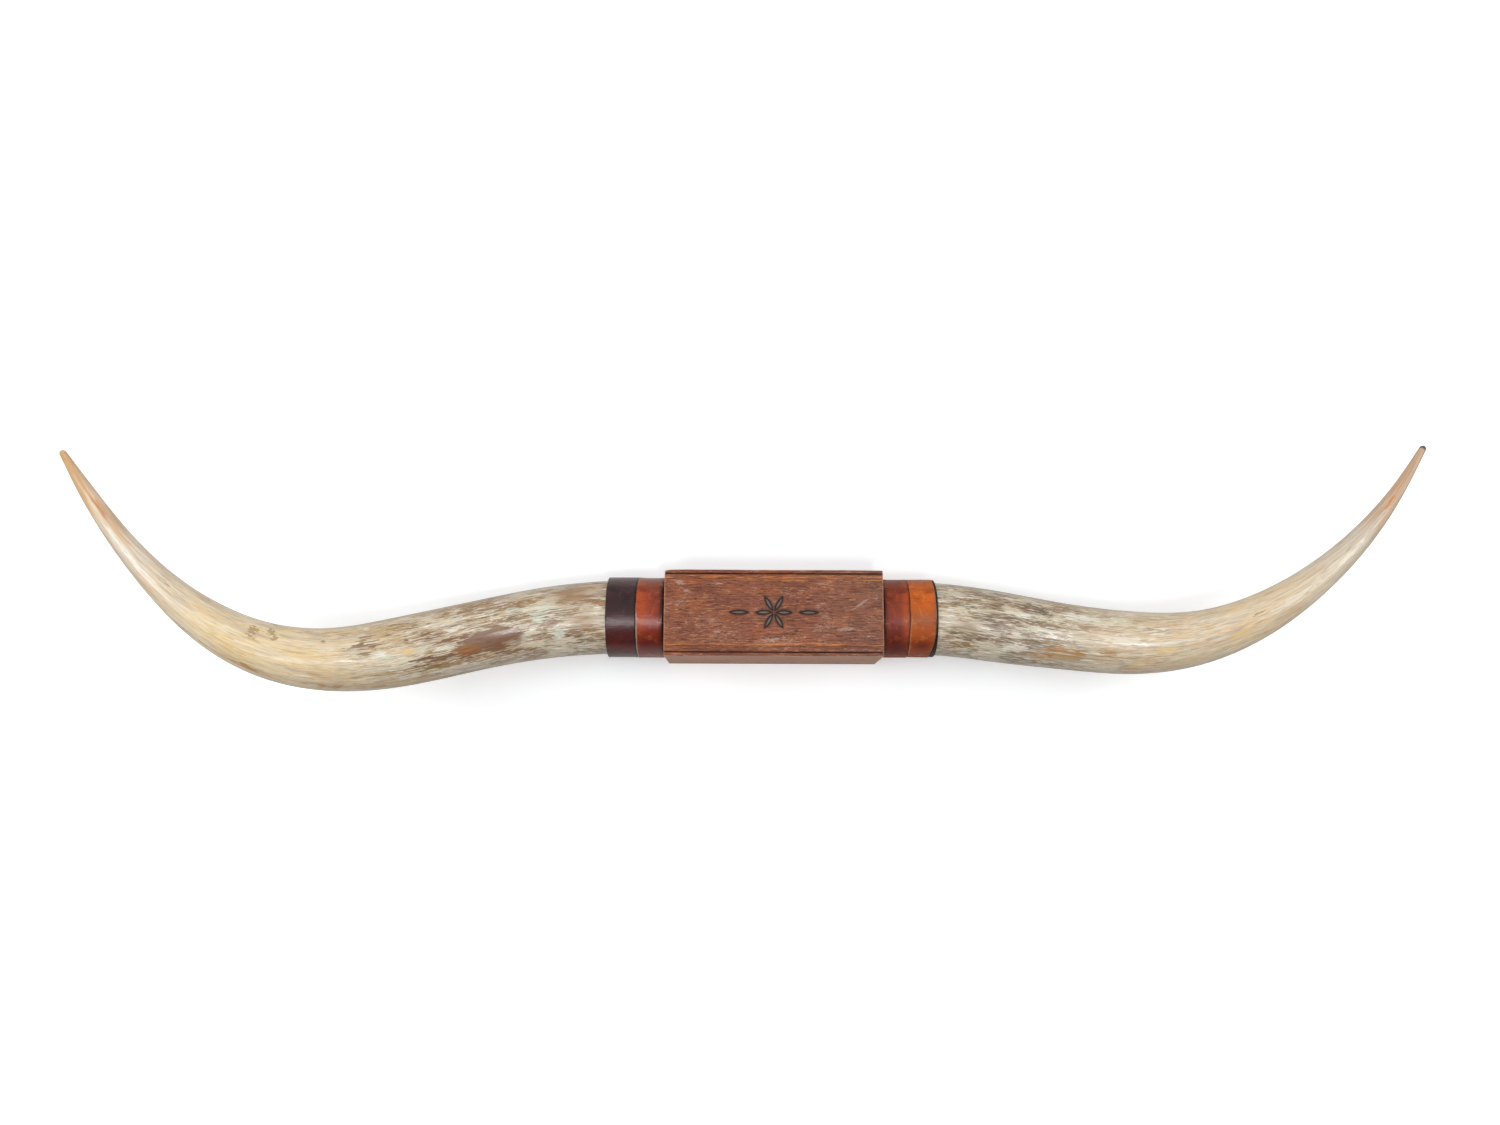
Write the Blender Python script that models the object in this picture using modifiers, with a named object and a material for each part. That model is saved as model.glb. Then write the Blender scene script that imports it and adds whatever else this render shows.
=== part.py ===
"""Mounted longhorn horns: two cattle horns whose butts sit in the ends of a moulded block of
stained wood, with leather bands round the joints.

Metres, +Z up. The origin is the centre of the block's flat back, which lies on the wall, and the
wall is the plane y = 0. The front faces -Y, and +X is on the viewer's right. Distances called
out run sideways from the middle of the block, and distances called forward run from the wall.
"""

import math

import bmesh
import bpy
import numpy as np

MM = 0.001
GAP = 0.0003  # between pieces that touch

# The block of wood, a length of moulded timber
BLOCK_LENGTH = 0.276
BLOCK_HEIGHT = 0.110
BLOCK_DEPTH = 0.108
END_EASE = 0.0015  # the sawn ends' edges are rubbed down by this much

# The moulding along the front's upper and lower edges, from the flat face outwards
COVE_WIDTH = 0.0062
COVE_DEPTH = 0.0032
FILLET_WIDTH = 0.0010
GROOVE_WIDTH = 0.0022
GROOVE_DEPTH = 0.0022
NOSE_WIDTH = 0.0042
NOSE_RADIUS = 0.0022

# Where the horns enter the block
HORN_FORWARD = 0.054
SOCKET_RADIUS = 0.0487
SOCKET_DEPTH = 0.0105

# The keyhole slot in the back, for the head of a wall screw
KEYHOLE_CENTRE_Z = 0.016
KEYHOLE_ENTRY_RADIUS = 0.0060
KEYHOLE_NECK_RADIUS = 0.0030
KEYHOLE_UNDERCUT_RADIUS = 0.0058
KEYHOLE_TRAVEL = 0.015
KEYHOLE_LIP = 0.004
KEYHOLE_DEPTH = 0.014

# Each horn's middle line and thickness in mm: out, forward, up, diameter. It leaves the block
# square, droops as it sweeps forward, then turns up to its tip.
LEFT_HORN = [
    (128, 54, 0, 96),
    (215, 54, -0.5, 95.5),
    (303, 60, -10, 92),
    (378, 75, -27, 89),
    (470, 108, -52.5, 87),
    (536, 136, -64, 78),
    (602, 160, -57.5, 67),
    (665, 177, -30, 54),
    (723, 186, 13.5, 39),
    (778, 188, 68.5, 27.5),
    (830, 184, 131, 18.5),
    (872, 177.5, 186, 8),
]
RIGHT_HORN = [
    (128, 54, 0, 95),
    (208, 54, -0.7, 94.5),
    (300, 59.5, -12.5, 91.5),
    (379, 72, -25.5, 84.5),
    (453, 92, -34.5, 79.5),
    (526, 114, -30.5, 67.5),
    (595, 133, -6, 54),
    (660, 144.5, 35, 40.5),
    (721, 149, 88.5, 28),
    (776, 149, 153, 16),
    (815, 145.5, 209, 8),
]
HORN_RINGS = 42
HORN_BEVEL_RESOLUTION = 10  # 24 sides
TIP_ROUNDING = 0.005

# The bands: where each starts and ends, its inner and outer radius, and how far its edge next to
# the block is rolled in
BAND_SIDES = 36
EDGE_ROUNDING = 0.0008
LEFT_INNER_BAND = {"out": (0.1386, 0.1738), "radii": (0.0489, 0.0523), "rolled": 0.0036}
LEFT_OUTER_BAND = {"out": (0.1741, 0.2122), "radii": (0.0489, 0.0520), "rolled": EDGE_ROUNDING}
RIGHT_INNER_BAND = {"out": (0.1386, 0.1718), "radii": (0.0484, 0.0511), "rolled": 0.0024}
RIGHT_OUTER_BAND = {"out": (0.1721, 0.2048), "radii": (0.0486, 0.0506), "rolled": EDGE_ROUNDING}
RIGHT_EDGING = {"out": (0.2051, 0.2073), "radii": (0.0486, 0.0504), "rolled": EDGE_ROUNDING}


def clear_scene():
    for obj in list(bpy.data.objects):
        bpy.data.objects.remove(obj, do_unlink=True)


def new_collection(name, hidden=False):
    collection = bpy.data.collections.new(name)
    collection.hide_render = hidden
    bpy.context.scene.collection.children.link(collection)
    return collection


def linear(hex_colour):
    """Linear RGB of an sRGB hex colour."""
    levels = [int(hex_colour[i : i + 2], 16) / 255 for i in (1, 3, 5)]
    return [v / 12.92 if v <= 0.04045 else ((v + 0.055) / 1.055) ** 2.4 for v in levels]


def new_material(name, hex_colour, roughness):
    material = bpy.data.materials.new(name)
    material.use_nodes = True
    shader = material.node_tree.nodes["Principled BSDF"]
    shader.inputs["Base Color"].default_value = (*linear(hex_colour), 1)
    shader.inputs["Roughness"].default_value = roughness
    shader.inputs["Metallic"].default_value = 0
    return material


def add_object(name, data, collection, material=None):
    obj = bpy.data.objects.new(name, data)
    collection.objects.link(obj)
    if material:
        data.materials.append(material)
    return obj


def as_guide(obj):
    """Marks a cutter, which only shapes the wood."""
    obj.hide_render = True
    obj.display_type = "WIRE"
    return obj


def meshed(curve_object, collection, material=None):
    """The curve object's shape as a welded mesh object of the same name and place."""
    bpy.context.view_layer.update()
    graph = bpy.context.evaluated_depsgraph_get()
    mesh = bpy.data.meshes.new_from_object(curve_object.evaluated_get(graph))
    name, place = curve_object.name, curve_object.matrix_world.copy()
    bpy.data.objects.remove(curve_object, do_unlink=True)
    mesh.materials.clear()
    work = bmesh.new()
    work.from_mesh(mesh)
    bmesh.ops.remove_doubles(work, verts=work.verts, dist=0.00001)
    bmesh.ops.recalc_face_normals(work, faces=work.faces)
    work.to_mesh(mesh)
    work.free()
    obj = add_object(name, mesh, collection, material)
    obj.matrix_world = place
    return obj


def flat_outline(name, points, thickness, collection):
    """A 2D curve through the points, closed, filled and extruded to the thickness."""
    curve = bpy.data.curves.new(name, "CURVE")
    curve.dimensions = "2D"
    curve.fill_mode = "BOTH"
    curve.extrude = thickness / 2
    spline = curve.splines.new("POLY")
    spline.points.add(len(points) - 1)
    for point, (x, y) in zip(spline.points, points):
        point.co = (x, y, 0, 1)
    spline.use_cyclic_u = True
    return add_object(name, curve, collection)


def arc(centre, radii, start, end, steps):
    """Points along an arc of an ellipse, angles in degrees."""
    angles = np.radians(np.linspace(start, end, steps + 1))
    return [
        (centre[0] + radii[0] * math.cos(a), centre[1] + radii[1] * math.sin(a)) for a in angles
    ]


def moulding_outline():
    """The moulding's section, from the flat face's edge to the block's side, as (out, back)
    pairs: a hollow cove, a flat fillet, a V groove and a rounded nose."""
    cove = arc((COVE_WIDTH, 0), (COVE_WIDTH, COVE_DEPTH), 180, 90, 4)
    fillet_end = COVE_WIDTH + FILLET_WIDTH
    groove = (fillet_end + GROOVE_WIDTH / 2, COVE_DEPTH + GROOVE_DEPTH)
    nose_start = fillet_end + GROOVE_WIDTH
    nose_centre = (nose_start + NOSE_WIDTH - NOSE_RADIUS, COVE_DEPTH + NOSE_RADIUS)
    nose = arc(nose_centre, (NOSE_RADIUS, NOSE_RADIUS), -90, 0, 3)
    return cove + [(fillet_end, COVE_DEPTH), groove, (nose_start, COVE_DEPTH)] + nose


def block_outline():
    """The block's section as (y, z) pairs, from the back's lower corner round by the front."""
    moulding_width = COVE_WIDTH + FILLET_WIDTH + GROOVE_WIDTH + NOSE_WIDTH
    face_edge = BLOCK_HEIGHT / 2 - moulding_width
    front = [(-BLOCK_DEPTH + back, face_edge + out) for out, back in moulding_outline()]
    lower = [(y, -z) for y, z in reversed(front)]
    return [(0, -BLOCK_HEIGHT / 2)] + lower + front + [(0, BLOCK_HEIGHT / 2)]


def cylinder_cutter(name, radius, ends, place, rotation, collection):
    """A cylinder along local Z, from ends[0] to ends[1] of its place, turned by rotation."""
    mesh = bpy.data.meshes.new(name)
    work = bmesh.new()
    bmesh.ops.create_cone(
        work, cap_ends=True, segments=48, radius1=radius, radius2=radius, depth=ends[1] - ends[0]
    )
    bmesh.ops.translate(work, verts=work.verts, vec=(0, 0, (ends[0] + ends[1]) / 2))
    work.to_mesh(mesh)
    work.free()
    obj = add_object(name, mesh, collection)
    obj.location = place
    obj.rotation_euler = rotation
    return as_guide(obj)


def slot_cutter(name, radius, depths, collection):
    """An upright round-ended slot from one depth to another behind the block's back."""
    ends = arc((0, 0), (radius, radius), 180, 360, 8)
    ends += arc((0, KEYHOLE_TRAVEL), (radius, radius), 0, 180, 8)
    outline = flat_outline(name, ends, depths[1] - depths[0], collection)
    outline.location = (0, -(depths[0] + depths[1]) / 2, KEYHOLE_CENTRE_Z)
    outline.rotation_euler = (math.radians(90), 0, 0)
    return as_guide(meshed(outline, collection))


def make_block(parts, cutters, material):
    outline = flat_outline("wood_block", block_outline(), BLOCK_LENGTH, parts)
    outline.rotation_euler = (math.radians(90), 0, math.radians(90))
    block = meshed(outline, parts, material)
    ease_ends(block)

    over = 0.005
    socket_floor = BLOCK_LENGTH / 2 - SOCKET_DEPTH
    socket_ends = (socket_floor, BLOCK_LENGTH / 2 + over)
    centre = (0, -HORN_FORWARD, 0)
    for name, turn in (("left_socket", -90), ("right_socket", 90)):
        rotation = (0, math.radians(turn), 0)
        cut(block, cylinder_cutter(name, SOCKET_RADIUS, socket_ends, centre, rotation, cutters))

    entry_ends = (-over, KEYHOLE_DEPTH + GAP)
    entry_centre = (0, 0, KEYHOLE_CENTRE_Z)
    to_front = (math.radians(90), 0, 0)
    entry = cylinder_cutter(
        "keyhole_entry", KEYHOLE_ENTRY_RADIUS, entry_ends, entry_centre, to_front, cutters
    )
    cut(block, entry)
    neck_depths = (-over, (KEYHOLE_LIP + KEYHOLE_DEPTH) / 2)
    cut(block, slot_cutter("keyhole_neck", KEYHOLE_NECK_RADIUS, neck_depths, cutters))
    undercut_depths = (KEYHOLE_LIP, KEYHOLE_DEPTH)
    cut(block, slot_cutter("keyhole_undercut", KEYHOLE_UNDERCUT_RADIUS, undercut_depths, cutters))
    return block


def ease_ends(block):
    """Rubs down the long edges of the two sawn ends."""
    mesh = block.data
    weights = mesh.attributes.new("bevel_weight_edge", "FLOAT", "EDGE")
    end = BLOCK_LENGTH / 2 - 0.0001
    for edge in mesh.edges:
        heights = [mesh.vertices[i].co.z for i in edge.vertices]
        on_end = min(heights) > end or max(heights) < -end
        weights.data[edge.index].value = 1.0 if on_end else 0.0
    ease = block.modifiers.new("eased_ends", "BEVEL")
    ease.limit_method = "WEIGHT"
    ease.width = END_EASE
    ease.segments = 1
    ease.use_clamp_overlap = True


def cut(obj, cutter):
    modifier = obj.modifiers.new(cutter.name, "BOOLEAN")
    modifier.operation = "DIFFERENCE"
    modifier.solver = "EXACT"
    modifier.object = cutter


def smooth_path(stations):
    """A function of the distance along a cubic spline through the stations. The spline starts
    straight out, as the horn leaves the block, and its bend fades out at the tip."""
    points = np.array(stations, float) * MM
    steps = np.linalg.norm(np.diff(points[:, :3], axis=0), axis=1)
    places = np.concatenate([[0], np.cumsum(steps)])
    slopes = np.diff(points, axis=0) / steps[:, None]
    system = np.eye(len(points))
    wanted = np.zeros_like(points)
    system[0, :2] = 2 * steps[0], steps[0]
    wanted[0] = 6 * (slopes[0] - np.array([1, 0, 0, 0]))
    for i in range(1, len(points) - 1):
        system[i, i - 1 : i + 2] = steps[i - 1], 2 * (steps[i - 1] + steps[i]), steps[i]
        wanted[i] = 6 * (slopes[i] - slopes[i - 1])
    bends = np.linalg.solve(system, wanted)

    def at(distance):
        i = np.clip(np.searchsorted(places, distance, side="right") - 1, 0, len(steps) - 1)
        h = steps[i][:, None]
        after = (distance - places[i])[:, None]
        before = h - after
        curved = (bends[i] * before**3 + bends[i + 1] * after**3) / (6 * h)
        from_start = (points[i] / h - bends[i] * h / 6) * before
        return curved + from_start + (points[i + 1] / h - bends[i + 1] * h / 6) * after

    return at, places[-1]


def make_horn(name, stations, side, collection, material):
    """A tapering tube along the horn's middle line, closed by a flat butt and a rounded tip."""
    at, length = smooth_path(stations)
    angles = np.radians([0, 30, 55, 75, 88])
    tip_places = length - TIP_ROUNDING * (1 - np.sin(angles))
    body_places = np.linspace(0, length - TIP_ROUNDING, HORN_RINGS)[:-1]
    rings = at(np.concatenate([body_places, tip_places]))
    rings[len(body_places) :, 3] *= np.cos(angles)

    curve = bpy.data.curves.new(name, "CURVE")
    curve.dimensions = "3D"
    curve.bevel_depth = 1.0
    curve.bevel_resolution = HORN_BEVEL_RESOLUTION
    curve.use_fill_caps = True
    spline = curve.splines.new("POLY")
    spline.points.add(len(rings) - 1)
    for point, (out, forward, up, diameter) in zip(spline.points, rings):
        point.co = (side * out, -forward, up, 1)
        point.radius = diameter / 2
    horn = meshed(add_object(name, curve, collection), collection, material)
    horn.data.shade_smooth()
    horn.data.set_sharp_from_angle(angle=math.radians(50))
    return horn


def make_band(name, size, side, collection, material):
    """A leather strip wrapped round the horn: a closed section turned about the horn's axis.
    Its edge next to the block is rolled in, and its other edges are slightly rounded."""
    start, end = size["out"]
    inner, outer = size["radii"]
    rolled = size["rolled"]
    thickness = outer - inner
    roll_depth = min(rolled, thickness - EDGE_ROUNDING)
    far_edge = arc(
        (outer - EDGE_ROUNDING, end - EDGE_ROUNDING), (EDGE_ROUNDING, EDGE_ROUNDING), 90, 0, 2
    )
    near_edge = arc((outer - roll_depth, start + rolled), (roll_depth, rolled), 0, -90, 4)
    section = [(inner, end)] + far_edge + near_edge + [(inner, start)]

    mesh = bpy.data.meshes.new(name)
    work = bmesh.new()
    ring = [work.verts.new((radius, 0, height)) for radius, height in section]
    for a, b in zip(ring, ring[1:] + ring[:1]):
        work.edges.new((a, b))
    work.to_mesh(mesh)
    work.free()
    band = add_object(name, mesh, collection, material)
    band.location = (0, -HORN_FORWARD, 0)
    band.rotation_euler = (0, math.radians(90 * side), 0)
    turn = band.modifiers.new("turn", "SCREW")
    turn.axis = "Z"
    turn.steps = BAND_SIDES
    turn.render_steps = BAND_SIDES
    turn.use_merge_vertices = True
    turn.merge_threshold = 0.00001
    turn.use_smooth_shade = True
    return band


def main():
    clear_scene()
    parts = new_collection("mounted_longhorn_horns")
    cutters = new_collection("cutters", hidden=True)
    wood = new_material("stained_wood", "#96644F", 0.60)
    horn = new_material("polished_horn", "#DCCBA4", 0.35)
    dark_leather = new_material("dark_brown_leather", "#4E3733", 0.45)
    red_leather = new_material("red_brown_leather", "#9C4F36", 0.45)
    tan_leather = new_material("orange_tan_leather", "#B4623C", 0.50)
    black_leather = new_material("black_edging", "#25211F", 0.60)

    make_block(parts, cutters, wood)
    make_horn("left_horn", LEFT_HORN, -1, parts, horn)
    make_horn("right_horn", RIGHT_HORN, 1, parts, horn)
    make_band("left_inner_band", LEFT_INNER_BAND, -1, parts, red_leather)
    make_band("left_outer_band", LEFT_OUTER_BAND, -1, parts, dark_leather)
    make_band("right_inner_band", RIGHT_INNER_BAND, 1, parts, red_leather)
    make_band("right_outer_band", RIGHT_OUTER_BAND, 1, parts, tan_leather)
    make_band("right_edging", RIGHT_EDGING, 1, parts, black_leather)


main()
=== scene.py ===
# %% [markdown]
# # Mounted longhorn horns
# The object is a pair of polished cattle horns, set end to end in a block of moulded, stained
# wood, with strips of leather wrapped round the joints. It hangs on a white wall.
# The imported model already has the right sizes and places, but its pieces are plain. Each lesson
# below makes one piece again as a fine surface and gives it the finish of the real one.
# Everything is in metres, with +Z up, the wall at y = 0 and the front facing -Y.

import math

import bmesh
import bpy
import numpy as np
from mathutils import Euler, Matrix, Vector


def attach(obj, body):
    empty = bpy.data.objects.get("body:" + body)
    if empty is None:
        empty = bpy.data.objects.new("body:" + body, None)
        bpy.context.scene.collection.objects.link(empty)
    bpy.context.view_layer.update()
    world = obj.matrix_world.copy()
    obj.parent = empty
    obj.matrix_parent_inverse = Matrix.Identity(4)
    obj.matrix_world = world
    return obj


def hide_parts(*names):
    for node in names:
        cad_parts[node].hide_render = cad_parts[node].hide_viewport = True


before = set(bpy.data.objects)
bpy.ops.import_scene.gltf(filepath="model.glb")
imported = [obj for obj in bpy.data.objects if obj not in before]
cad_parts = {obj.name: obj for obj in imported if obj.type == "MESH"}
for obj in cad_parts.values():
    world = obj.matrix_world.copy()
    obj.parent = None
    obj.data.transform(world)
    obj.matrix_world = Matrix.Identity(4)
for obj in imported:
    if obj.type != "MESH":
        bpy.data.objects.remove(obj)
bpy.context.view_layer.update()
MM = 0.001
print("nodes:", sorted(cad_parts))

# %% [markdown]
# ## Two small helpers for materials
# A colour picked from a screen is an sRGB hex value, and Blender's shaders want linear light, so
# one function turns the first into the second. The other adds any node with its settings and
# links, and gives back one of its outputs. A link is given by the socket's name or number, and
# its value is a number, a colour or another node's output. Writing nodes this way keeps a
# material's recipe in reading order.


# %% Colours and nodes
def linear(hex_colour):
    """Each sRGB level v becomes v / 12.92 if it is small, otherwise ((v + 0.055) / 1.055)^2.4."""
    levels = [int(hex_colour[i : i + 2], 16) / 255 for i in (1, 3, 5)]
    light = [v / 12.92 if v <= 0.04045 else ((v + 0.055) / 1.055) ** 2.4 for v in levels]
    return (*light, 1.0)


def add(tree, kind, links=None, output=0, **settings):
    """Adds a shader node of the kind, sets its properties, then its sockets by name or number.
    Returns its output of that name or number."""
    node = tree.nodes.new("ShaderNode" + kind)
    for name, value in settings.items():
        setattr(node, name, value)
    for socket, value in (links or {}).items():
        if isinstance(value, bpy.types.NodeSocket):
            tree.links.new(value, node.inputs[socket])
        else:
            node.inputs[socket].default_value = value
    return node.outputs[output] if node.outputs else None


def new_material(name):
    """An empty node material, and its node tree."""
    material = bpy.data.materials.new(name)
    material.use_nodes = True
    material.node_tree.nodes.clear()
    return material, material.node_tree


print("middle grey #808080 is", [round(v, 3) for v in linear("#808080")], "in linear light")

# %% [markdown]
# ## Streaks, flecks and stains as tables
# Horn, wood and leather all have patterns that are much longer one way than the other. A noise
# texture gets that by stretching its coordinates: dividing by a length along the grain and by a
# width across it makes one blob of noise about that long and that wide.
# So a pattern is one row of a table: its length and width in millimetres, its detail, and how
# much it is bent. A layer is another row: its colour, the pattern that decides where it lies,
# the levels between which it fades in, its strength, and an attribute that limits it or None.
# Reading down the rows is like laying coats of colour over each other.
# Numbers that were worked out on the points of a piece, its fields, serve as patterns too, and
# so does the sum of two patterns, which is how a ragged noise breaks up the edge of a field.


# %% Patterns and layers
def add_patterns(tree, place, noises, fields, sums=None):
    """Noise for each row (length mm, width mm, detail, bend), long along the place's X, then the
    piece's own fields, then start + amount * other for each row (start, amount, other)."""
    patterns = {}
    for number, (name, (length, width, detail, bend)) in enumerate(noises.items()):
        scale = (1 / (length * MM), 1 / (width * MM), 1 / (width * MM))
        shift = (3.1 * number, 7.7 * number, 1.3 * number)
        sockets = {"Vector": place, "Scale": scale, "Location": shift}
        stretched = add(tree, "Mapping", sockets)
        sockets = {"Vector": stretched, "Scale": 1.0, "Detail": detail, "Distortion": bend}
        patterns[name] = add(tree, "TexNoise", sockets)
    for name in fields:
        patterns[name] = add(tree, "Attribute", output="Fac", attribute_name=name)
    for name, (start, amount, other) in (sums or {}).items():
        sockets = {0: patterns[other], 1: amount, 2: patterns[start]}
        patterns[name] = add(tree, "Math", sockets, operation="MULTIPLY_ADD")
    return patterns


def add_layers(tree, ground, patterns, layers):
    """Mixes each layer (colour, pattern, start, full, strength, where) over the ones before.
    Its mask is a smooth step of the pattern from start to full, times strength, times where."""
    shade = ground
    for colour, pattern, start, full, strength, where in layers:
        sockets = {0: patterns[pattern], 1: start, 2: full, 3: 0.0, 4: strength}
        mask = add(tree, "MapRange", sockets, interpolation_type="SMOOTHSTEP")
        if where:
            sockets = {0: mask, 1: patterns[where]}
            mask = add(tree, "Math", sockets, operation="MULTIPLY")
        over = linear(colour) if isinstance(colour, str) else colour
        sockets = {0: mask, 6: shade, 7: over}
        shade = add(tree, "Mix", sockets, data_type="RGBA", output=2)
    return shade


def finish(tree, colour, height, relief_mm, rough, shader):
    """Ends a material: the height pattern becomes a bump that is relief_mm deep, the rough
    pattern (name, smooth, dull) sets the roughness, and the shader's own values are set on it."""
    sockets = {"Height": height, "Strength": 1.0, "Distance": relief_mm * MM}
    bump = add(tree, "Bump", sockets)
    pattern, smooth, dull = rough
    roughness = add(tree, "MapRange", {0: pattern, 1: 0.3, 2: 0.7, 3: smooth, 4: dull})
    sockets = {"Base Color": colour, "Roughness": roughness, "Normal": bump}
    sockets.update({"Coat Normal": bump, **shader})
    surface = add(tree, "BsdfPrincipled", sockets)
    add(tree, "OutputMaterial", {"Surface": surface})


print("noise that is 20 mm wide has", round(1 / (20 * MM)), "blobs to the metre")

# %% [markdown]
# ## From a grid of numbers to a closed mesh
# Every piece here is round or looped one way, so it is a grid of points: rows along the piece,
# and columns that close round it. Neighbouring points make four-sided faces. A tube is closed by
# a flat face at each end, and a ring by joining its last row to its first.
# Along with the points go attributes: numbers, vectors or colours on each point that the
# material reads later. They follow the surface, so a streak bends with the horn.


# %% Grid to mesh
def add_object(name, data):
    """An object that shows the data, at the origin and linked to the scene."""
    new = bpy.data.objects.new(name, data)
    bpy.context.scene.collection.objects.link(new)
    return new


def add_surface(name, grid, ring=False, numbers=None, vectors=None, colours=None, sharp=None):
    """A mesh object from a grid of points (row, column, xyz) whose columns close on themselves.
    Face (i, j) joins points (i, j), (i, j+1), (i+1, j+1) and (i+1, j)."""
    rows, columns = grid.shape[:2]
    here = np.arange(rows * columns).reshape(rows, columns)
    following = np.roll(here, -1, axis=0)
    faces = np.stack([here, np.roll(here, -1, 1), np.roll(following, -1, 1), following], axis=-1)
    faces = (faces if ring else faces[:-1]).reshape(-1, 4).tolist()
    if not ring:
        faces += [here[0][::-1].tolist(), here[-1].tolist()]
    mesh = bpy.data.meshes.new(name)
    mesh.from_pydata(grid.reshape(-1, 3), [], faces)
    work = bmesh.new()
    work.from_mesh(mesh)
    bmesh.ops.recalc_face_normals(work, faces=work.faces)
    volume = work.calc_volume(signed=True)
    work.to_mesh(mesh)
    work.free()
    kinds = (
        (numbers, "FLOAT", "value"),
        (vectors, "FLOAT_VECTOR", "vector"),
        (colours, "FLOAT_COLOR", "color"),
    )
    for values, kind, field in kinds:
        for label, array in (values or {}).items():
            layer = mesh.attributes.new(label, kind, "POINT")
            layer.data.foreach_set(field, np.ascontiguousarray(array, np.float32).ravel())
    mesh.shade_smooth()
    if sharp:
        mesh.set_sharp_from_angle(angle=math.radians(sharp))
    print(f"{name}: {len(faces)} faces, {volume * 1e6:.1f} cm3")
    return add_object(name, mesh)


def place_piece(piece, node, material):
    """Gives the piece its material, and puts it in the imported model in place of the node."""
    piece.data.materials.clear()
    piece.data.materials.append(material)
    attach(piece, "root")
    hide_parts(node)


# %% [markdown]
# ## Unevenness without chance
# Nothing made by an animal or by hand is quite even. A sum of cosines with seeded heights and
# phases gives a gentle, repeatable unevenness. Each cosine has a whole number of waves round the
# piece, so the surface still closes on itself.


# %% Seeded ripples
def ripple(turn, along, lobes, lengths, seed, terms=14):
    """A sum of terms cos(lobes * turn + along / length + phase), scaled to about -1 to 1.
    Lobes and lengths (mm) are ranges that each term draws from."""
    draw = np.random.default_rng(seed)
    total = np.zeros(np.broadcast(turn, along).shape)
    for _ in range(terms):
        count = draw.integers(lobes[0], lobes[1] + 1)
        length = draw.uniform(*lengths) * MM
        phase, size = draw.uniform(0, 2 * np.pi), draw.uniform(0.5, 1.0)
        total += size * np.cos(count * turn + draw.choice([-1, 1]) * along / length + phase)
    return total / (0.75 * math.sqrt(terms) * 1.5)


waves = ripple(np.linspace(0, 2 * np.pi, 361), 0, (2, 5), (35, 90), 1)
print("a ripple round a piece goes from", round(waves.min(), 2), "to", round(waves.max(), 2))

# %% [markdown]
# ## The camera
# The photograph was taken from straight in front and a little below, looking up by about ten
# degrees: the underside of the block shows as a thin strip. The camera's place and lens were
# worked out from the block's edges, and the horns were then measured through it.

# %% Camera
LENS_MM, SENSOR_MM = 27.6, 36
CAMERA_PLACE = (-0.0324, -1.5380, -0.1932)
LOOK_UP, LOOK_LEFT, ROLL = (math.radians(degrees) for degrees in (10.17, -0.09, 0.24))
camera_data = bpy.data.cameras.new("camera")
camera_data.lens = LENS_MM
camera_data.sensor_width = SENSOR_MM
camera_data.clip_start = 0.02
camera = add_object("camera", camera_data)
bpy.context.scene.camera = camera
aim = Euler((math.pi / 2 + LOOK_UP, 0, LOOK_LEFT)).to_matrix().to_4x4()
camera.matrix_world = Matrix.Translation(CAMERA_PLACE) @ aim @ Matrix.Rotation(ROLL, 4, "Z")
print("the camera looks up by", round(math.degrees(camera.matrix_world.to_euler().x) - 90, 2))

# %% [markdown]
# ## The wall and the floor
# In the photograph the wall is pure white, and only the deepest shadows on it show. A pure white
# wall that also glows a little, the more the further from the horns, gives that. Both are for the
# eye only: to the horns the wall is greyer and the floor dark, so their edges stay dark. The eye
# sees the floor in the room's own pale grey. The wall is clear from behind and the floor from
# below, so the back and the underside can be looked at too, and the wall casts no shadow.


# %% Wall and floor
def add_plane(name, corners, material):
    """A flat four-sided face through the corners."""
    mesh = bpy.data.meshes.new(name)
    mesh.from_pydata(corners, [], [(0, 1, 2, 3)])
    mesh.materials.append(material)
    add_object(name, mesh)


def finish_paint(tree, to_eye, to_others, shadowless):
    """Ends a stage material: one surface for the eye, another for the rays that carry light,
    and clear from behind. A shadowless one is clear to shadow rays too."""
    eye = add(tree, "LightPath", output="Is Camera Ray")
    front = add(tree, "MixShader", {0: eye, 1: to_others, 2: to_eye})
    clear = add(tree, "NewGeometry", output="Backfacing")
    if shadowless:
        shadow = add(tree, "LightPath", output="Is Shadow Ray")
        clear = add(tree, "Math", {0: clear, 1: shadow}, operation="MAXIMUM")
    glass = add(tree, "BsdfTransparent")
    surface = add(tree, "MixShader", {0: clear, 1: front, 2: glass})
    add(tree, "OutputMaterial", {"Surface": surface})


EVEN_LIGHT = 0.62
WHITE, SEEN_WALL = (1, 1, 1, 1), (0.95, 0.97, 0.99, 1)
WALL_TO_HORNS, FLOOR_TO_HORNS = (0.58, 0.58, 0.58, 1), (0.16, 0.16, 0.16, 1)

wall_paint, tree = new_material("white_wall_paint")
place = add(tree, "TexCoord", output="Object")
wide = add(tree, "VectorMath", {0: place, 1: (0.7, 0, 1)}, operation="MULTIPLY")
reach = add(tree, "VectorMath", {0: wide}, operation="LENGTH", output="Value")
glow = add(tree, "MapRange", {0: reach, 1: 0.30, 2: 0.9, 3: 0.20, 4: 0.9})
own = add(tree, "Emission", {"Color": WHITE, "Strength": glow})
lit = add(tree, "BsdfDiffuse", {"Color": SEEN_WALL})
seen = add(tree, "AddShader", {0: own, 1: lit})
grey = add(tree, "BsdfDiffuse", {"Color": WALL_TO_HORNS})
finish_paint(tree, seen, grey, shadowless=True)

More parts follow.
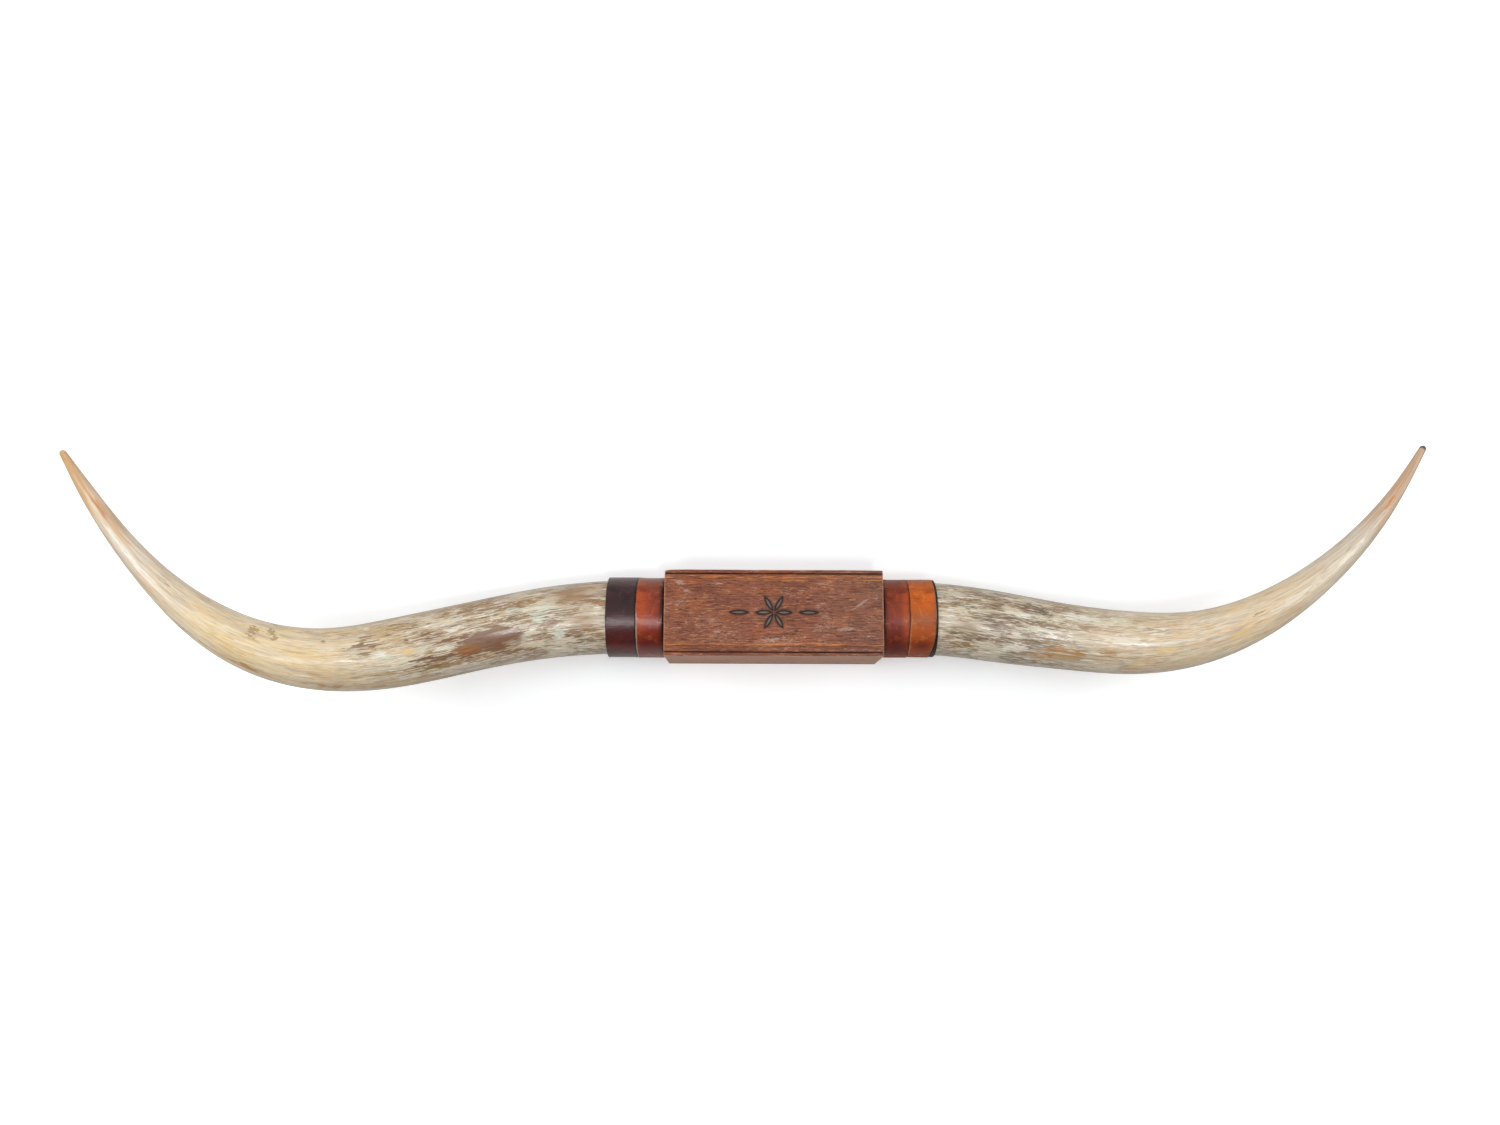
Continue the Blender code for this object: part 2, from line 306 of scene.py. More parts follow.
floor_paint, tree = new_material("pale_floor_paint")
pale = add(tree, "Emission", {"Color": WHITE, "Strength": EVEN_LIGHT})
dark = add(tree, "BsdfDiffuse", {"Color": FLOOR_TO_HORNS})
finish_paint(tree, pale, dark, shadowless=False)

WALL_Y, FLOOR_Z, ROOM = 0.0012, -1.1, 6
upright = [(-ROOM, WALL_Y, FLOOR_Z), (ROOM, WALL_Y, FLOOR_Z), (ROOM, WALL_Y, 5), (-ROOM, WALL_Y, 5)]
level = [(x * ROOM, y * ROOM, FLOOR_Z) for x, y in ((-1, -1), (1, -1), (1, 1), (-1, 1))]
add_plane("wall", upright, wall_paint)
add_plane("floor", level, floor_paint)
print("the wall is", WALL_Y / MM, "mm behind the block, the floor", -FLOOR_Z, "m below its middle")

# %% [markdown]
# ## The lights
# The photograph's shadows on the wall were used to work out the lights: most of the light is
# even and comes from everywhere, and the shadows are darkest right under the block. Polished
# things mirror the even light at half its strength, or it would lie on them like a veil. A wide
# box below the camera lights the undersides, a weaker one in front the faces, and a box at each
# side throws the tip's shadow inwards on the wall and draws a pale line along the tip. Two small
# low boxes draw the bright lines on the leather and on the thick half of the horns, and a box
# behind lights the back.


# %% Lights
def add_softbox(name, place, target, width, height, watts, mirrored=True):
    """A rectangle of light facing the target. Mirrored says whether glossy things show it."""
    light = bpy.data.lights.new(name, "AREA")
    light.shape = "RECTANGLE"
    light.size, light.size_y, light.energy = width, height, watts
    box = add_object(name, light)
    turn = (Vector(target) - Vector(place)).to_track_quat("-Z", "Y")
    box.matrix_world = Matrix.Translation(place) @ turn.to_matrix().to_4x4()
    box.visible_camera, box.visible_glossy = False, mirrored


MIRRORED_LIGHT = 0.33
add_softbox("front_box", (-0.10, -2.3, 0.20), (0, 0, 0), 1.2, 0.8, 3.5, mirrored=False)
add_softbox("below_box", (0, -2.2, -0.90), (0, 0, 0), 1.6, 0.5, 5.5, mirrored=False)
add_softbox("left_side_box", (-1.75, -1.5, 0.22), (-0.3, 0, 0), 0.46, 0.9, 8.8)
add_softbox("right_side_box", (1.75, -1.5, 0.22), (0.3, 0, 0), 0.46, 0.9, 7)
add_softbox("left_low_box", (-0.50, -2.1, -0.80), (0, 0, 0), 0.60, 0.36, 7)
add_softbox("right_low_box", (0.16, -2.2, -0.60), (0, 0, 0), 0.16, 0.22, 7)
add_softbox("back_box", (0, 2.4, 1.0), (0, 0, 0), 2.4, 1.2, 24)

world = bpy.data.worlds.new("pale_room")
bpy.context.scene.world = world
world.use_nodes = True
background = world.node_tree.nodes["Background"]
background.inputs["Color"].default_value = WHITE
glossy = add(world.node_tree, "LightPath", output="Is Glossy Ray")
even = add(world.node_tree, "MapRange", {0: glossy, 3: EVEN_LIGHT, 4: MIRRORED_LIGHT})
world.node_tree.links.new(even, background.inputs["Strength"])
bpy.context.scene.view_settings.view_transform = "Standard"

# %% [markdown]
# ## Each horn as a tube of changing thickness
# A horn grows at its root, so it is a stack of ever wider rings pushed outwards: a tube whose
# middle line bends and whose thickness falls off to a point. The stations say how far out, how
# far forward and how high the middle line runs, and how thick the horn is there.
# A curve object with a bevel could draw that, but it gives no say over the surface. Here the
# tube is a function of two numbers, the distance along the middle line and the angle round it,
# so relief, streaks and stains can all be worked out in the same two numbers.

# %% Stations of the horns
# Out, forward, up and diameter in mm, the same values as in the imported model
LEFT_HORN = [
    (128, 54, 0, 96), (215, 54, -0.5, 95.5), (303, 60, -10, 92), (378, 75, -27, 89),
    (470, 108, -52.5, 87), (536, 136, -64, 78), (602, 160, -57.5, 67), (665, 177, -30, 54),
    (723, 186, 13.5, 39), (778, 188, 68.5, 27.5), (830, 184, 131, 18.5), (872, 177.5, 186, 8),
]  # fmt: skip
RIGHT_HORN = [
    (128, 54, 0, 95), (208, 54, -0.7, 94.5), (300, 59.5, -12.5, 91.5), (379, 72, -25.5, 84.5),
    (453, 92, -34.5, 79.5), (526, 114, -30.5, 67.5), (595, 133, -6, 54), (660, 144.5, 35, 40.5),
    (721, 149, 88.5, 28), (776, 149, 153, 16), (815, 145.5, 209, 8),
]  # fmt: skip
TIP_ROUNDING = 5 * MM
FLUTE_DEPTH, SCRAPE_DEPTH = 0.45 * MM, 0.12 * MM


def smooth_path(stations):
    """A cubic spline through the stations, as a function of the distance along them: the bends
    at the stations make the slopes meet, the start runs straight out, and the end is free."""
    points = np.array(stations, float) * MM
    steps = np.linalg.norm(np.diff(points[:, :3], axis=0), axis=1)
    places = np.concatenate([[0], np.cumsum(steps)])
    slopes = np.diff(points, axis=0) / steps[:, None]
    system, wanted = np.eye(len(points)), np.zeros_like(points)
    system[0, :2] = 2 * steps[0], steps[0]
    wanted[0] = 6 * (slopes[0] - np.array([1, 0, 0, 0]))
    for i in range(1, len(points) - 1):
        system[i, i - 1 : i + 2] = steps[i - 1], 2 * (steps[i - 1] + steps[i]), steps[i]
        wanted[i] = 6 * (slopes[i] - slopes[i - 1])
    bends = np.linalg.solve(system, wanted)

    def at(distance):
        i = np.clip(np.searchsorted(places, distance, side="right") - 1, 0, len(steps) - 1)
        h = steps[i][:, None]
        after = (distance - places[i])[:, None]
        before = h - after
        curved = (bends[i] * before**3 + bends[i + 1] * after**3) / (6 * h)
        from_start = (points[i] / h - bends[i] * h / 6) * before
        return curved + from_start + (points[i + 1] / h - bends[i + 1] * h / 6) * after

    return at, places[-1]


print("left horn:", round(smooth_path(LEFT_HORN)[1] / MM), "mm along its stations")
print("right horn:", round(smooth_path(RIGHT_HORN)[1] / MM), "mm along its stations")

# %% [markdown]
# ## The horn's surface
# Round each point of the middle line lies a circle. Its angle starts at the top and turns
# towards the viewer: 90 degrees faces the front and 180 the floor.
# A polished horn still shows its growth: long shallow flutes, a faint swelling here and there,
# and fine lengthwise scrape marks. Polishing only takes horn away, so the relief goes inwards.


# %% Horn grid
def horn_grid(stations, side, seed, rows=400, columns=112):
    """Point = centre(s) + radius(s, angle) * (cos(angle) * up + sin(angle) * towards viewer).
    Returns the grid, and for each row and column its distance s, angle and radius."""
    at, length = smooth_path(stations)
    ends = np.radians(np.linspace(0, 87, 9))
    length -= 0.1 * MM
    body = np.linspace(0, length - TIP_ROUNDING, rows)[:-1]
    s = np.concatenate([body, length - TIP_ROUNDING * (1 - np.sin(ends))])
    line = at(s)
    radius = line[:, 3] / 2
    radius[len(body) :] *= np.cos(ends)
    flip = np.array([side, -1, 1])
    ahead = (at(s + 0.5 * MM) - at(s - 0.5 * MM))[:, :3] * flip
    ahead /= np.linalg.norm(ahead, axis=1, keepdims=True)
    up = np.array([0, 0, 1]) - ahead[:, 2:] * ahead
    up /= np.linalg.norm(up, axis=1, keepdims=True)
    front = side * np.cross(ahead, up)

    angle = np.linspace(0, 2 * np.pi, columns, endpoint=False)[None, :]
    s, radius = s[:, None], radius[:, None]
    flutes = 0.5 + 0.5 * ripple(angle, s, (2, 5), (35, 90), seed)
    scrapes = 0.5 + 0.5 * ripple(angle, s, (14, 38), (12, 60), seed + 1)
    relief = (FLUTE_DEPTH * flutes + SCRAPE_DEPTH * scrapes) * np.clip(radius / (40 * MM), 0.1, 1)
    deep = np.clip(radius * 0.999 - relief, 0.1 * MM, None)
    centre = (line[:, :3] * flip)[:, None, :]
    turned = np.cos(angle)[..., None] * up[:, None] + np.sin(angle)[..., None] * front[:, None]
    grid = centre + deep[..., None] * turned
    return grid, s, angle, radius


left_grid, left_s, left_angle, left_radius = horn_grid(LEFT_HORN, -1, 11)
right_grid, right_s, right_angle, right_radius = horn_grid(RIGHT_HORN, 1, 12)
heights = np.array([left_grid[..., 2].min(), left_grid[..., 2].max()]) / MM
print("the left horn's lowest and highest points in mm:", np.round(heights, 1))

# %% [markdown]
# ## Colours that grow with the horn
# Horn is keratin, laid down in overlapping cones. Seen from outside it is ivory and honey,
# with grey, brown and chalky streaks where pigment or tiny cracks lie under the surface. The
# half next to the head is the most mottled, and the tip is clear and tan.
# The broad colours run along the horn as a list of distances and colours. The patches are
# marks: where each lies (distance and angle), its half length and half width, and its colour.
# The colour fades from a mark's middle as exp(-(along / half length)^2 - (across / half width)^2),
# and the material later breaks its edge into streaks. The marks behind, which the photograph
# doesn't show, are guesses in the same manner. Calm places are smooth ones without flecks.
# Some marks are painted light: pale strips along the front of the left tip and the right horn are
# painted highlights over pale horn, and grey strips along the top edge are painted sheen and shade.

# %% Horn palette and marks
HORN_COLOURS = {
    "ivory_and_highlight": "#F0E4CE", "chalk_and_highlight": "#EFEBDC", "mint": "#D5DBC9", "honey": "#E9C88C",
    "khaki": "#AE8F70", "umber": "#82664A", "chestnut": "#7B5239", "rust": "#AA6218",
    "olive": "#96763F", "amber": "#BD8A50", "tan": "#E0B68C", "orange": "#D5854A",
    "grey": "#B3A6A0", "smoke": "#76664F", "ink": "#4A4744",
}  # fmt: skip
LEFT_GROUND = [
    (0, "#97754F"), (90, "#9C7B57"), (150, "#A2815B"), (210, "#A5845F"), (300, "#B39369"),
    (380, "#D3B68A"), (450, "#EBD0A0"), (520, "#F0D5A4"), (580, "#EDD5AA"), (650, "#E6D4B8"),
    (710, "#E4D3BC"), (750, "#DFBE9A"), (800, "#DDB27F"), (871, "#D8A76D"),
]  # fmt: skip
RIGHT_GROUND = [
    (0, "#978062"), (100, "#A18A6A"), (150, "#937C60"), (200, "#988369"), (250, "#B59E7E"),
    (300, "#D3BA96"), (380, "#E4CBA5"), (450, "#EACEA4"), (520, "#E8CFA9"), (580, "#E1D1B7"),
    (640, "#D9CAB6"), (690, "#D4B190"), (740, "#CFA37B"), (795, "#C69A70"),
]  # fmt: skip
LEFT_MARKS = {
    "chestnut": [(240, 102, 42, 10, 1.8), (252, 110, 42, 11, 1.8), (265, 117, 35, 10, 1.3),
        (219, 108, 25, 8, 1.6), (305, 118, 22, 4, 1.5), (327, 113, 22, 5, 1.0),
        (230, 126, 30, 7, 1.0), (292, 92, 30, 5, 0.95)],
    "rust": [(270, 114, 20, 8, 2.3)],
    "umber": [(341, 77, 22, 6.2, 0.6), (317, 83, 30, 7.5, 0.69), (225, 140, 36, 8.8, 0.77),
        (109, 133, 26, 11.2, 0.73), (235, 59, 36, 20, 0.43), (505, 21, 13, 7.5, 0.6),
        (468, 35, 41, 5, 0.52), (433, 50, 34, 5, 0.52), (396, 76, 31, 10, 0.81),
        (398, 89, 12, 6.2, 0.86), (381, 63, 38, 10, 0.69), (333, 124, 26, 8.8, 0.77),
        (345, 57, 41, 10, 0.64), (327, 77, 31, 8.8, 0.69), (440, 40, 48, 6.2, 0.43)],
    "khaki": [(116, 66, 34, 20, 0.7), (150, 50, 30, 10, 0.5), (640, 62, 50, 7, 0.5),
        (238, 92, 26, 8, 0.9)],
    "olive": [(321, 131, 26, 6, 1.0), (180, 140, 50, 9, 0.6)],
    # The chalk mark at 700 mm and 95 degrees is partly pale horn and partly a painted highlight.
    "chalk_and_highlight": [(302, 103, 16, 6, 0.95), (286, 76, 20, 5, 1.15), (379, 93, 12, 6, 1.1),
        (408, 83, 9, 6, 0.8), (389, 37, 18, 7, 0.6), (468, 133, 20, 8, 0.75),
        (551, 81, 18, 9, 0.7), (700, 95, 70, 7, 0.8)],
    "mint": [(173, 86, 18, 13, 0.9), (146, 116, 16, 12, 0.95), (194, 115, 12, 8, 0.85),
        (351, 142, 18, 4, 0.8), (200, 70, 22, 9, 0.7), (165, 74, 20, 12, 0.8)],
    "honey": [(346, 97, 12, 7, 1.1), (351, 95, 19, 6, 0.9), (456, 91, 62, 17, 0.65),
        (540, 105, 60, 16, 0.7), (590, 70, 50, 10, 0.5), (560, 280, 70, 12, 0.8)],
    "amber": [(443, 60, 4, 3, 1.0), (520, 148, 34, 6, 0.8), (422, 153, 50, 6, 0.85),
        (600, 150, 60, 5, 0.7), (745, 152, 60, 5, 0.7)],
    "tan": [(640, 125, 50, 9, 0.6), (720, 60, 40, 6, 0.7), (680, 250, 60, 8, 0.8)],
    "orange": [(772, 62, 26, 5, 0.8), (765, 66, 12, 3, 0.9)],
    # The grey marks at 12 degrees are painted sheen and shade along the top edge.
    "grey": [(276, 155, 40, 9, 0.7), (420, 12, 130, 8, 0.6), (180, 12, 110, 9, 0.6)],
}  # fmt: skip
RIGHT_MARKS = {
    "smoke": [(157, 58, 18, 27.5, 0.73), (150, 91, 22, 16.2, 0.64), (198, 53, 36, 10, 0.9),
        (179, 82, 22, 6.2, 0.77), (217, 60, 26, 7.5, 0.81), (223, 84, 14, 5, 0.77),
        (300, 72, 11, 3.8, 0.69), (301, 50, 12, 6.2, 0.6), (479, 87, 12, 3.1, 0.77),
        (110, 122, 26, 6.2, 0.69), (240, 47, 48, 7.5, 0.52), (250, 158, 108, 7.5, 0.52)],
    "khaki": [(105, 89, 18, 8, 0.7), (273, 75, 12, 7, 1.1), (255, 72, 26, 5, 0.6)],
    "olive": [(121, 140, 36, 11, 0.85)],
    # The chalk mark at 235 mm and 92 degrees is a painted highlight over pale horn.
    "chalk_and_highlight": [(108, 52, 22, 16, 0.5), (192, 73, 16, 6, 1.0), (257, 59, 30, 9, 1.05),
        (185, 126, 28, 10, 0.85), (284, 138, 18, 6, 0.85), (358, 74, 32, 11, 0.6),
        (235, 92, 34, 7, 0.8)],
    # The ivory marks at 540 and 610 mm are a painted highlight along the front of the horn.
    "ivory_and_highlight": [(316, 93, 44, 11, 0.95), (540, 100, 60, 6, 0.9), (610, 96, 50, 7, 0.8)],
    "amber": [(250, 126, 36, 10, 0.95), (302, 117, 18, 6, 0.95), (222, 144, 32, 6, 0.8)],
    "rust": [(232, 136, 12, 4, 0.8)],
    "honey": [(340, 136, 40, 11, 0.7), (368, 113, 18, 6, 1.0), (454, 116, 17, 8, 1.0),
        (456, 51, 24, 10, 0.8), (430, 140, 60, 8, 0.6), (520, 285, 60, 10, 0.8)],
    "tan": [(412, 77, 28, 9, 0.65), (660, 140, 50, 5, 0.8), (560, 60, 50, 7, 0.5)],
    "orange": [(702, 78, 16, 5, 0.85), (708, 80, 7, 2.5, 0.9)],
    # The grey marks at 8 and 14 degrees are painted sheen and shade along the top edge.
    "grey": [(420, 8, 100, 8, 0.6), (200, 14, 90, 8, 0.6)],
    "ink": [(795, 90, 5.5, 60, 2.4)],
}  # fmt: skip
UNSEEN_MARKS = {
    "umber": [(250, 272, 60, 16, 0.8), (140, 235, 40, 10, 0.8), (330, 205, 40, 9, 0.7)],
    "chestnut": [(405, 253, 65, 12, 0.8)],
    "chalk_and_highlight": [(335, 320, 40, 10, 0.9), (175, 217, 38, 14, 0.8), (450, 300, 50, 8, 0.7)],
    "amber": [(300, 188, 70, 9, 0.7)],
}  # fmt: skip
PITS = [(525, 58, 10, 8), (523, 74, 8, 5), (505, 52, 8, 9), (499, 65, 6, 6), (443, 60, 4, 3)]
LEFT_CALM = [(112, 100, 24, 12), (125, 52, 34, 20), (240, 14, 140, 11), (400, 68, 44, 8),
             (295, 92, 36, 6), (232, 124, 30, 7), (330, 170, 60, 14), (200, 215, 60, 30)]
RIGHT_CALM = [(154, 60, 12, 26), (315, 95, 50, 13), (240, 134, 36, 10), (285, 138, 24, 7),
              (190, 14, 110, 10), (120, 105, 20, 8), (200, 215, 60, 30)]
for name, marks in (("left", LEFT_MARKS), ("right", RIGHT_MARKS), ("unseen", UNSEEN_MARKS)):
    print(name, "marks:", sum(len(rows) for rows in marks.values()))

# %% [markdown]
# ## Working out the colours at each point
# Five things go on the points. Ground is the broad colour. Stain is the colour of the marks
# there, painted highlights and sheen among them, and stained says how strong they are. Fleck says
# how mottled the horn is: strong near the block, weak towards the tip and in the calm places.
# Pitted is where the left horn was scraped. The grain vector is the distance along the horn and a
# place round a circle, so that noise read from it has no seam.


# %% Colour attributes
def colour_along(table, distance):
    """The colour at each distance (mm), on straight lines between the table's colours."""
    places = [row[0] for row in table]
    colours = np.array([linear(row[1]) for row in table])
    return np.stack([np.interp(distance, places, colours[:, i]) for i in range(4)], axis=-1)


def mark_weight(distance, angle, radius, place, turn, half_length, half_width):
    """exp(-(distance gap / half length)^2 - (arc / half width)^2), all lengths in mm."""
    gap = (angle - math.radians(turn) + np.pi) % (2 * np.pi) - np.pi
    arc_length = gap * np.maximum(radius, 6 * MM) / MM
    return np.exp(-(((distance - place) / half_length) ** 2) - (arc_length / half_width) ** 2)


def horn_colours(s, angle, radius, ground_table, marks, flecks, calm, pits):
    """The stain is the average of the marks' colours, each weighted by (strength * weight)^3.
    Stained is the largest strength * weight, and pitted the largest weight of a pit. The flecks
    fade by 0.9 * the largest weight of a calm place."""
    shape = np.broadcast(s, angle).shape
    distance = np.broadcast_to(s / MM, shape)
    ground = colour_along(ground_table, distance)
    mixed, weights = np.zeros((*shape, 3)), np.full(shape, 1e-6)
    largest, pitted, calmed = np.zeros(shape), np.zeros(shape), np.zeros(shape)
    for table in (marks, UNSEEN_MARKS):
        for name, rows in table.items():
            for place, turn, half_length, half_width, strength in rows:
                weight = mark_weight(distance, angle, radius, place, turn, half_length, half_width)
                weight = weight * strength
                mixed += weight[..., None] ** 3 * np.array(linear(HORN_COLOURS[name])[:3])
                weights += weight**3
                largest = np.maximum(largest, weight)
    for pit in pits:
        pitted = np.maximum(pitted, mark_weight(distance, angle, radius, *pit))
    for area in calm:
        calmed = np.maximum(calmed, mark_weight(distance, angle, radius, *area))
    stain = np.concatenate([mixed / weights[..., None], np.ones((*shape, 1))], axis=-1)
    fleck = np.interp(distance, [row[0] for row in flecks], [row[1] for row in flecks])
    fleck *= 1 - 0.9 * calmed
    round_radius = 0.5 * (45 * MM + radius)
    grain = np.stack(
        [np.broadcast_to(s, shape), round_radius * np.cos(angle), round_radius * np.sin(angle)], -1
    )
    return {
        "numbers": {"stained": largest, "fleck": fleck, "pitted": pitted},
        "vectors": {"grain": grain},
        "colours": {"ground": ground, "stain": stain},
    }


LEFT_FLECKS = [(0, 0.8), (100, 1), (330, 1), (390, 0.7), (450, 0.3), (600, 0.15), (871, 0)]
RIGHT_FLECKS = [(0, 0.8), (100, 1), (290, 1), (350, 0.6), (460, 0.3), (600, 0.15), (795, 0)]
looks = horn_colours(
    left_s, left_angle, left_radius, LEFT_GROUND, LEFT_MARKS, LEFT_FLECKS, LEFT_CALM, PITS
)
add_surface("left_horn_surface", left_grid, sharp=50, **looks)
looks = horn_colours(
    right_s, right_angle, right_radius, RIGHT_GROUND, RIGHT_MARKS, RIGHT_FLECKS, RIGHT_CALM, []
)
add_surface("right_horn_surface", right_grid, sharp=50, **looks)

# %% [markdown]
# ## Polished horn
# The real finish is scraped, sanded and buffed keratin: a clear, slightly yellow surface whose
# streaks lie just beneath a gloss. Its index of refraction is about 1.54. To the eye that gives
# depth: soft long streaks, sharp little flecks over them, and a bright line where light falls.
# Near the block the horn is mottled: a cream noise lies over brown, and a broader noise, the
# zones, is added to it first, so that the flecks gather in patches as they do on the real one.
# The marks are broken up in the same way: a fine streaky noise is added to their strength.
# Under all that lie clouds, a pink blush and an ashy grey, and on top run thin dark hairlines.
# The finest fibres are about a fifth of a millimetre wide. They are drawn 1.5 mm wide here, so
# that they still show at the size of the photograph.


# %% Horn material
def make_horn_material(name):
    """The ground, then the layers from the deepest clouds to the hairlines on top. Bare = fleck *
    (1, falling to 0.05 as stained goes from 0.7 to 1.3). The fibres make the bump."""
    material, tree = new_material(name)
    grain = add(tree, "Attribute", output="Vector", attribute_name="grain")
    ground = add(tree, "Attribute", output="Color", attribute_name="ground")
    stain = add(tree, "Attribute", output="Color", attribute_name="stain")
    noises = {
        "cloud": (90, 20, 3, 0.3),
        "zone": (45, 15, 3, 0.4),
        "blush": (60, 11, 4, 0.5),
        "ash": (48, 9, 4, 0.5),
        "mottle": (17, 1.4, 6, 0.3),
        "crack": (30, 0.8, 5, 0.2),
        "hair": (70, 0.9, 3, 0.0),
        "streak": (50, 2.6, 5, 0.1),
        "broad_streak": (75, 5.0, 4, 0.1),
        "fibre": (60, 1.5, 3, 0.0),
        "mint_fleck": (16, 4.2, 5, 0.5),
        "chalk_fleck": (13, 1.2, 5, 0.3),
        "dark_fleck": (16, 1.3, 5, 0.3),
        "ragged": (15, 2.1, 6, 0.4),
        "pit": (3.6, 2.6, 4, 0.8),
    }
    sums = {
        "mottled": ("mottle", 1.9, "zone"),
        "marks": ("stained", 2.6, "ragged"),
        "scraped": ("pitted", 2.4, "pit"),
    }
    patterns = add_patterns(tree, grain, noises, ["fleck", "stained", "pitted"], sums)
    bare = add(tree, "MapRange", {0: patterns["stained"], 1: 0.7, 2: 1.3, 3: 1.0, 4: 0.05})
    sockets = {0: bare, 1: patterns["fleck"]}
    patterns["bare"] = add(tree, "Math", sockets, operation="MULTIPLY")
    layers = [
        ("#F3EAD8", "cloud", 0.48, 0.68, 0.35, None),
        ("#D9A67B", "blush", 0.52, 0.66, 0.40, None),
        ("#B3A59E", "ash", 0.54, 0.68, 0.45, None),
        ("#A98759", "streak", 0.52, 0.70, 0.45, None),
        ("#F6EDD9", "broad_streak", 0.50, 0.66, 0.45, None),
        ("#624930", "dark_fleck", 0.49, 0.60, 0.52, "fleck"),
        ("#E9DEC4", "mottled", 1.40, 1.56, 0.72, "fleck"),
        ("#CDD6C6", "mint_fleck", 0.58, 0.65, 0.50, "fleck"),
        # The marks bring in painted highlights and the painted sheen of the top edge as well.
        (stain, "marks", 1.90, 2.10, 0.90, None),
        ("#523B27", "crack", 0.55, 0.64, 0.55, "fleck"),
        ("#F9F4E6", "chalk_fleck", 0.57, 0.64, 0.80, "bare"),
        ("#A5845C", "scraped", 1.86, 1.96, 0.70, None),
        ("#86693F", "fibre", 0.54, 0.76, 0.35, None),
        ("#5E4A3A", "hair", 0.60, 0.72, 0.40, None),
    ]
    colour = add_layers(tree, ground, patterns, layers)
    shader = {"IOR": 1.54, "Coat Weight": 0.45, "Coat Roughness": 0.18}
    finish(tree, colour, patterns["fibre"], 0.08, (patterns["streak"], 0.34, 0.50), shader)
    return material


polished_horn = make_horn_material("polished_horn_keratin")
for name in ("left_horn", "right_horn"):
    place_piece(bpy.data.objects[name + "_surface"], name, polished_horn)
print("nodes in the horn's material:", len(polished_horn.node_tree.nodes))

# %% [markdown]
# ## The block's outline
# The block is one length of timber, moulded along its front's upper and lower edges as a picture
# frame or a skirting board is: a hollow cove, a flat fillet, a V groove and a rounded nose.
# A moulding plane or a router runs the same outline along the whole length, so the natural way
# to make it is that outline carried along X.

# %% Outline of the wood
BLOCK_LENGTH, BLOCK_HEIGHT, BLOCK_DEPTH = 276 * MM, 110 * MM, 108 * MM
COVE_WIDTH, COVE_DEPTH = 6.2 * MM, 3.2 * MM
FILLET_WIDTH = 1.0 * MM
GROOVE_WIDTH, GROOVE_DEPTH = 2.2 * MM, 2.2 * MM
NOSE_WIDTH, NOSE_RADIUS = 4.2 * MM, 2.2 * MM
HORN_FORWARD = 54 * MM


def arc(centre, radii, start, end, steps):
    """Points of an ellipse: centre + (radius1 * cos(angle), radius2 * sin(angle)), in degrees."""
    angles = np.radians(np.linspace(start, end, steps + 1))
    return [(centre[0] + radii[0] * np.cos(a), centre[1] + radii[1] * np.sin(a)) for a in angles]


def chain(points, spacing):
    """Points along straight runs from corner to corner, each run cut into equal steps."""
    runs = []
    for a, b in zip(points[:-1], points[1:]):
        a, b = np.array(a), np.array(b)
        count = max(1, int(round(np.linalg.norm(b - a) / spacing)))
        runs.append(a + (b - a) * np.linspace(0, 1, count, endpoint=False)[:, None])
    return np.concatenate(runs)


def block_outline():
    """Closed (y, z) outline: underside, lower moulding, face, upper moulding, top, back."""
    fillet_end = COVE_WIDTH + FILLET_WIDTH
    nose_start = fillet_end + GROOVE_WIDTH
    groove = (fillet_end + GROOVE_WIDTH / 2, COVE_DEPTH + GROOVE_DEPTH)
    nose_centre = (nose_start + NOSE_WIDTH - NOSE_RADIUS, COVE_DEPTH + NOSE_RADIUS)
    shape = arc((COVE_WIDTH, 0), (COVE_WIDTH, COVE_DEPTH), 180, 90, 10)
    shape += [(fillet_end, COVE_DEPTH), groove, (nose_start, COVE_DEPTH)]
    shape += arc(nose_centre, (NOSE_RADIUS, NOSE_RADIUS), -90, 0, 7)
    face_edge = BLOCK_HEIGHT / 2 - nose_start - NOSE_WIDTH
    upper = [(-BLOCK_DEPTH + back, face_edge + out) for out, back in shape]
    lower = [(y, -z) for y, z in reversed(upper)]
    half = BLOCK_HEIGHT / 2
    fine, coarse = 26 * MM, face_edge
    return np.concatenate(
        [
            chain([(0, -half), lower[0]], 4 * MM),
            chain(lower, 0.55 * MM),
            chain([(-BLOCK_DEPTH, -coarse), (-BLOCK_DEPTH, -fine)], 1.3 * MM),
            chain([(-BLOCK_DEPTH, -fine), (-BLOCK_DEPTH, fine)], 0.75 * MM),
            chain([(-BLOCK_DEPTH, fine), (-BLOCK_DEPTH, coarse)], 1.3 * MM),
            chain(upper, 0.55 * MM),
            chain([upper[-1], (0, half)], 4 * MM),
            chain([(0, half), (0, -half)], 5 * MM),
        ]
    )


outline = block_outline()
print("points in the outline:", len(outline))

# %% [markdown]
# ## The carving on the face
# The middle of the face carries a plain traditional ornament of the chip carver, about 116 mm
# wide and darkened with a hot iron: a rosette of six petals, which a pair of compasses lays out,
# with a leaf at each side. Every petal and leaf is one V-shaped cut.
# The shape between two equal arcs is a leaf. At a distance t from its middle its half width is
# sqrt(R^2 - t^2) - (R - w), where w is the widest half width and R the arcs' radius.

# %% Carved leaves
PETAL_LENGTH, PETAL_WIDTH = 23 * MM, 6.4 * MM
LEAF_LENGTH, LEAF_WIDTH = 28 * MM, 6.0 * MM
LEAF_PLACE = 44 * MM
CUT_DEPTH, SOOT_SPREAD = 1.8 * MM, 3.0 * MM
PETAL_PLACE = 0.55 * PETAL_LENGTH
LEAVES = [
    (PETAL_PLACE * math.cos(a), PETAL_PLACE * math.sin(a), a, PETAL_LENGTH, PETAL_WIDTH)
    for a in np.radians([0, 60, 120, 180, 240, 300])
]
LEAVES += [(side * LEAF_PLACE, 0, 0, LEAF_LENGTH, LEAF_WIDTH) for side in (-1, 1)]


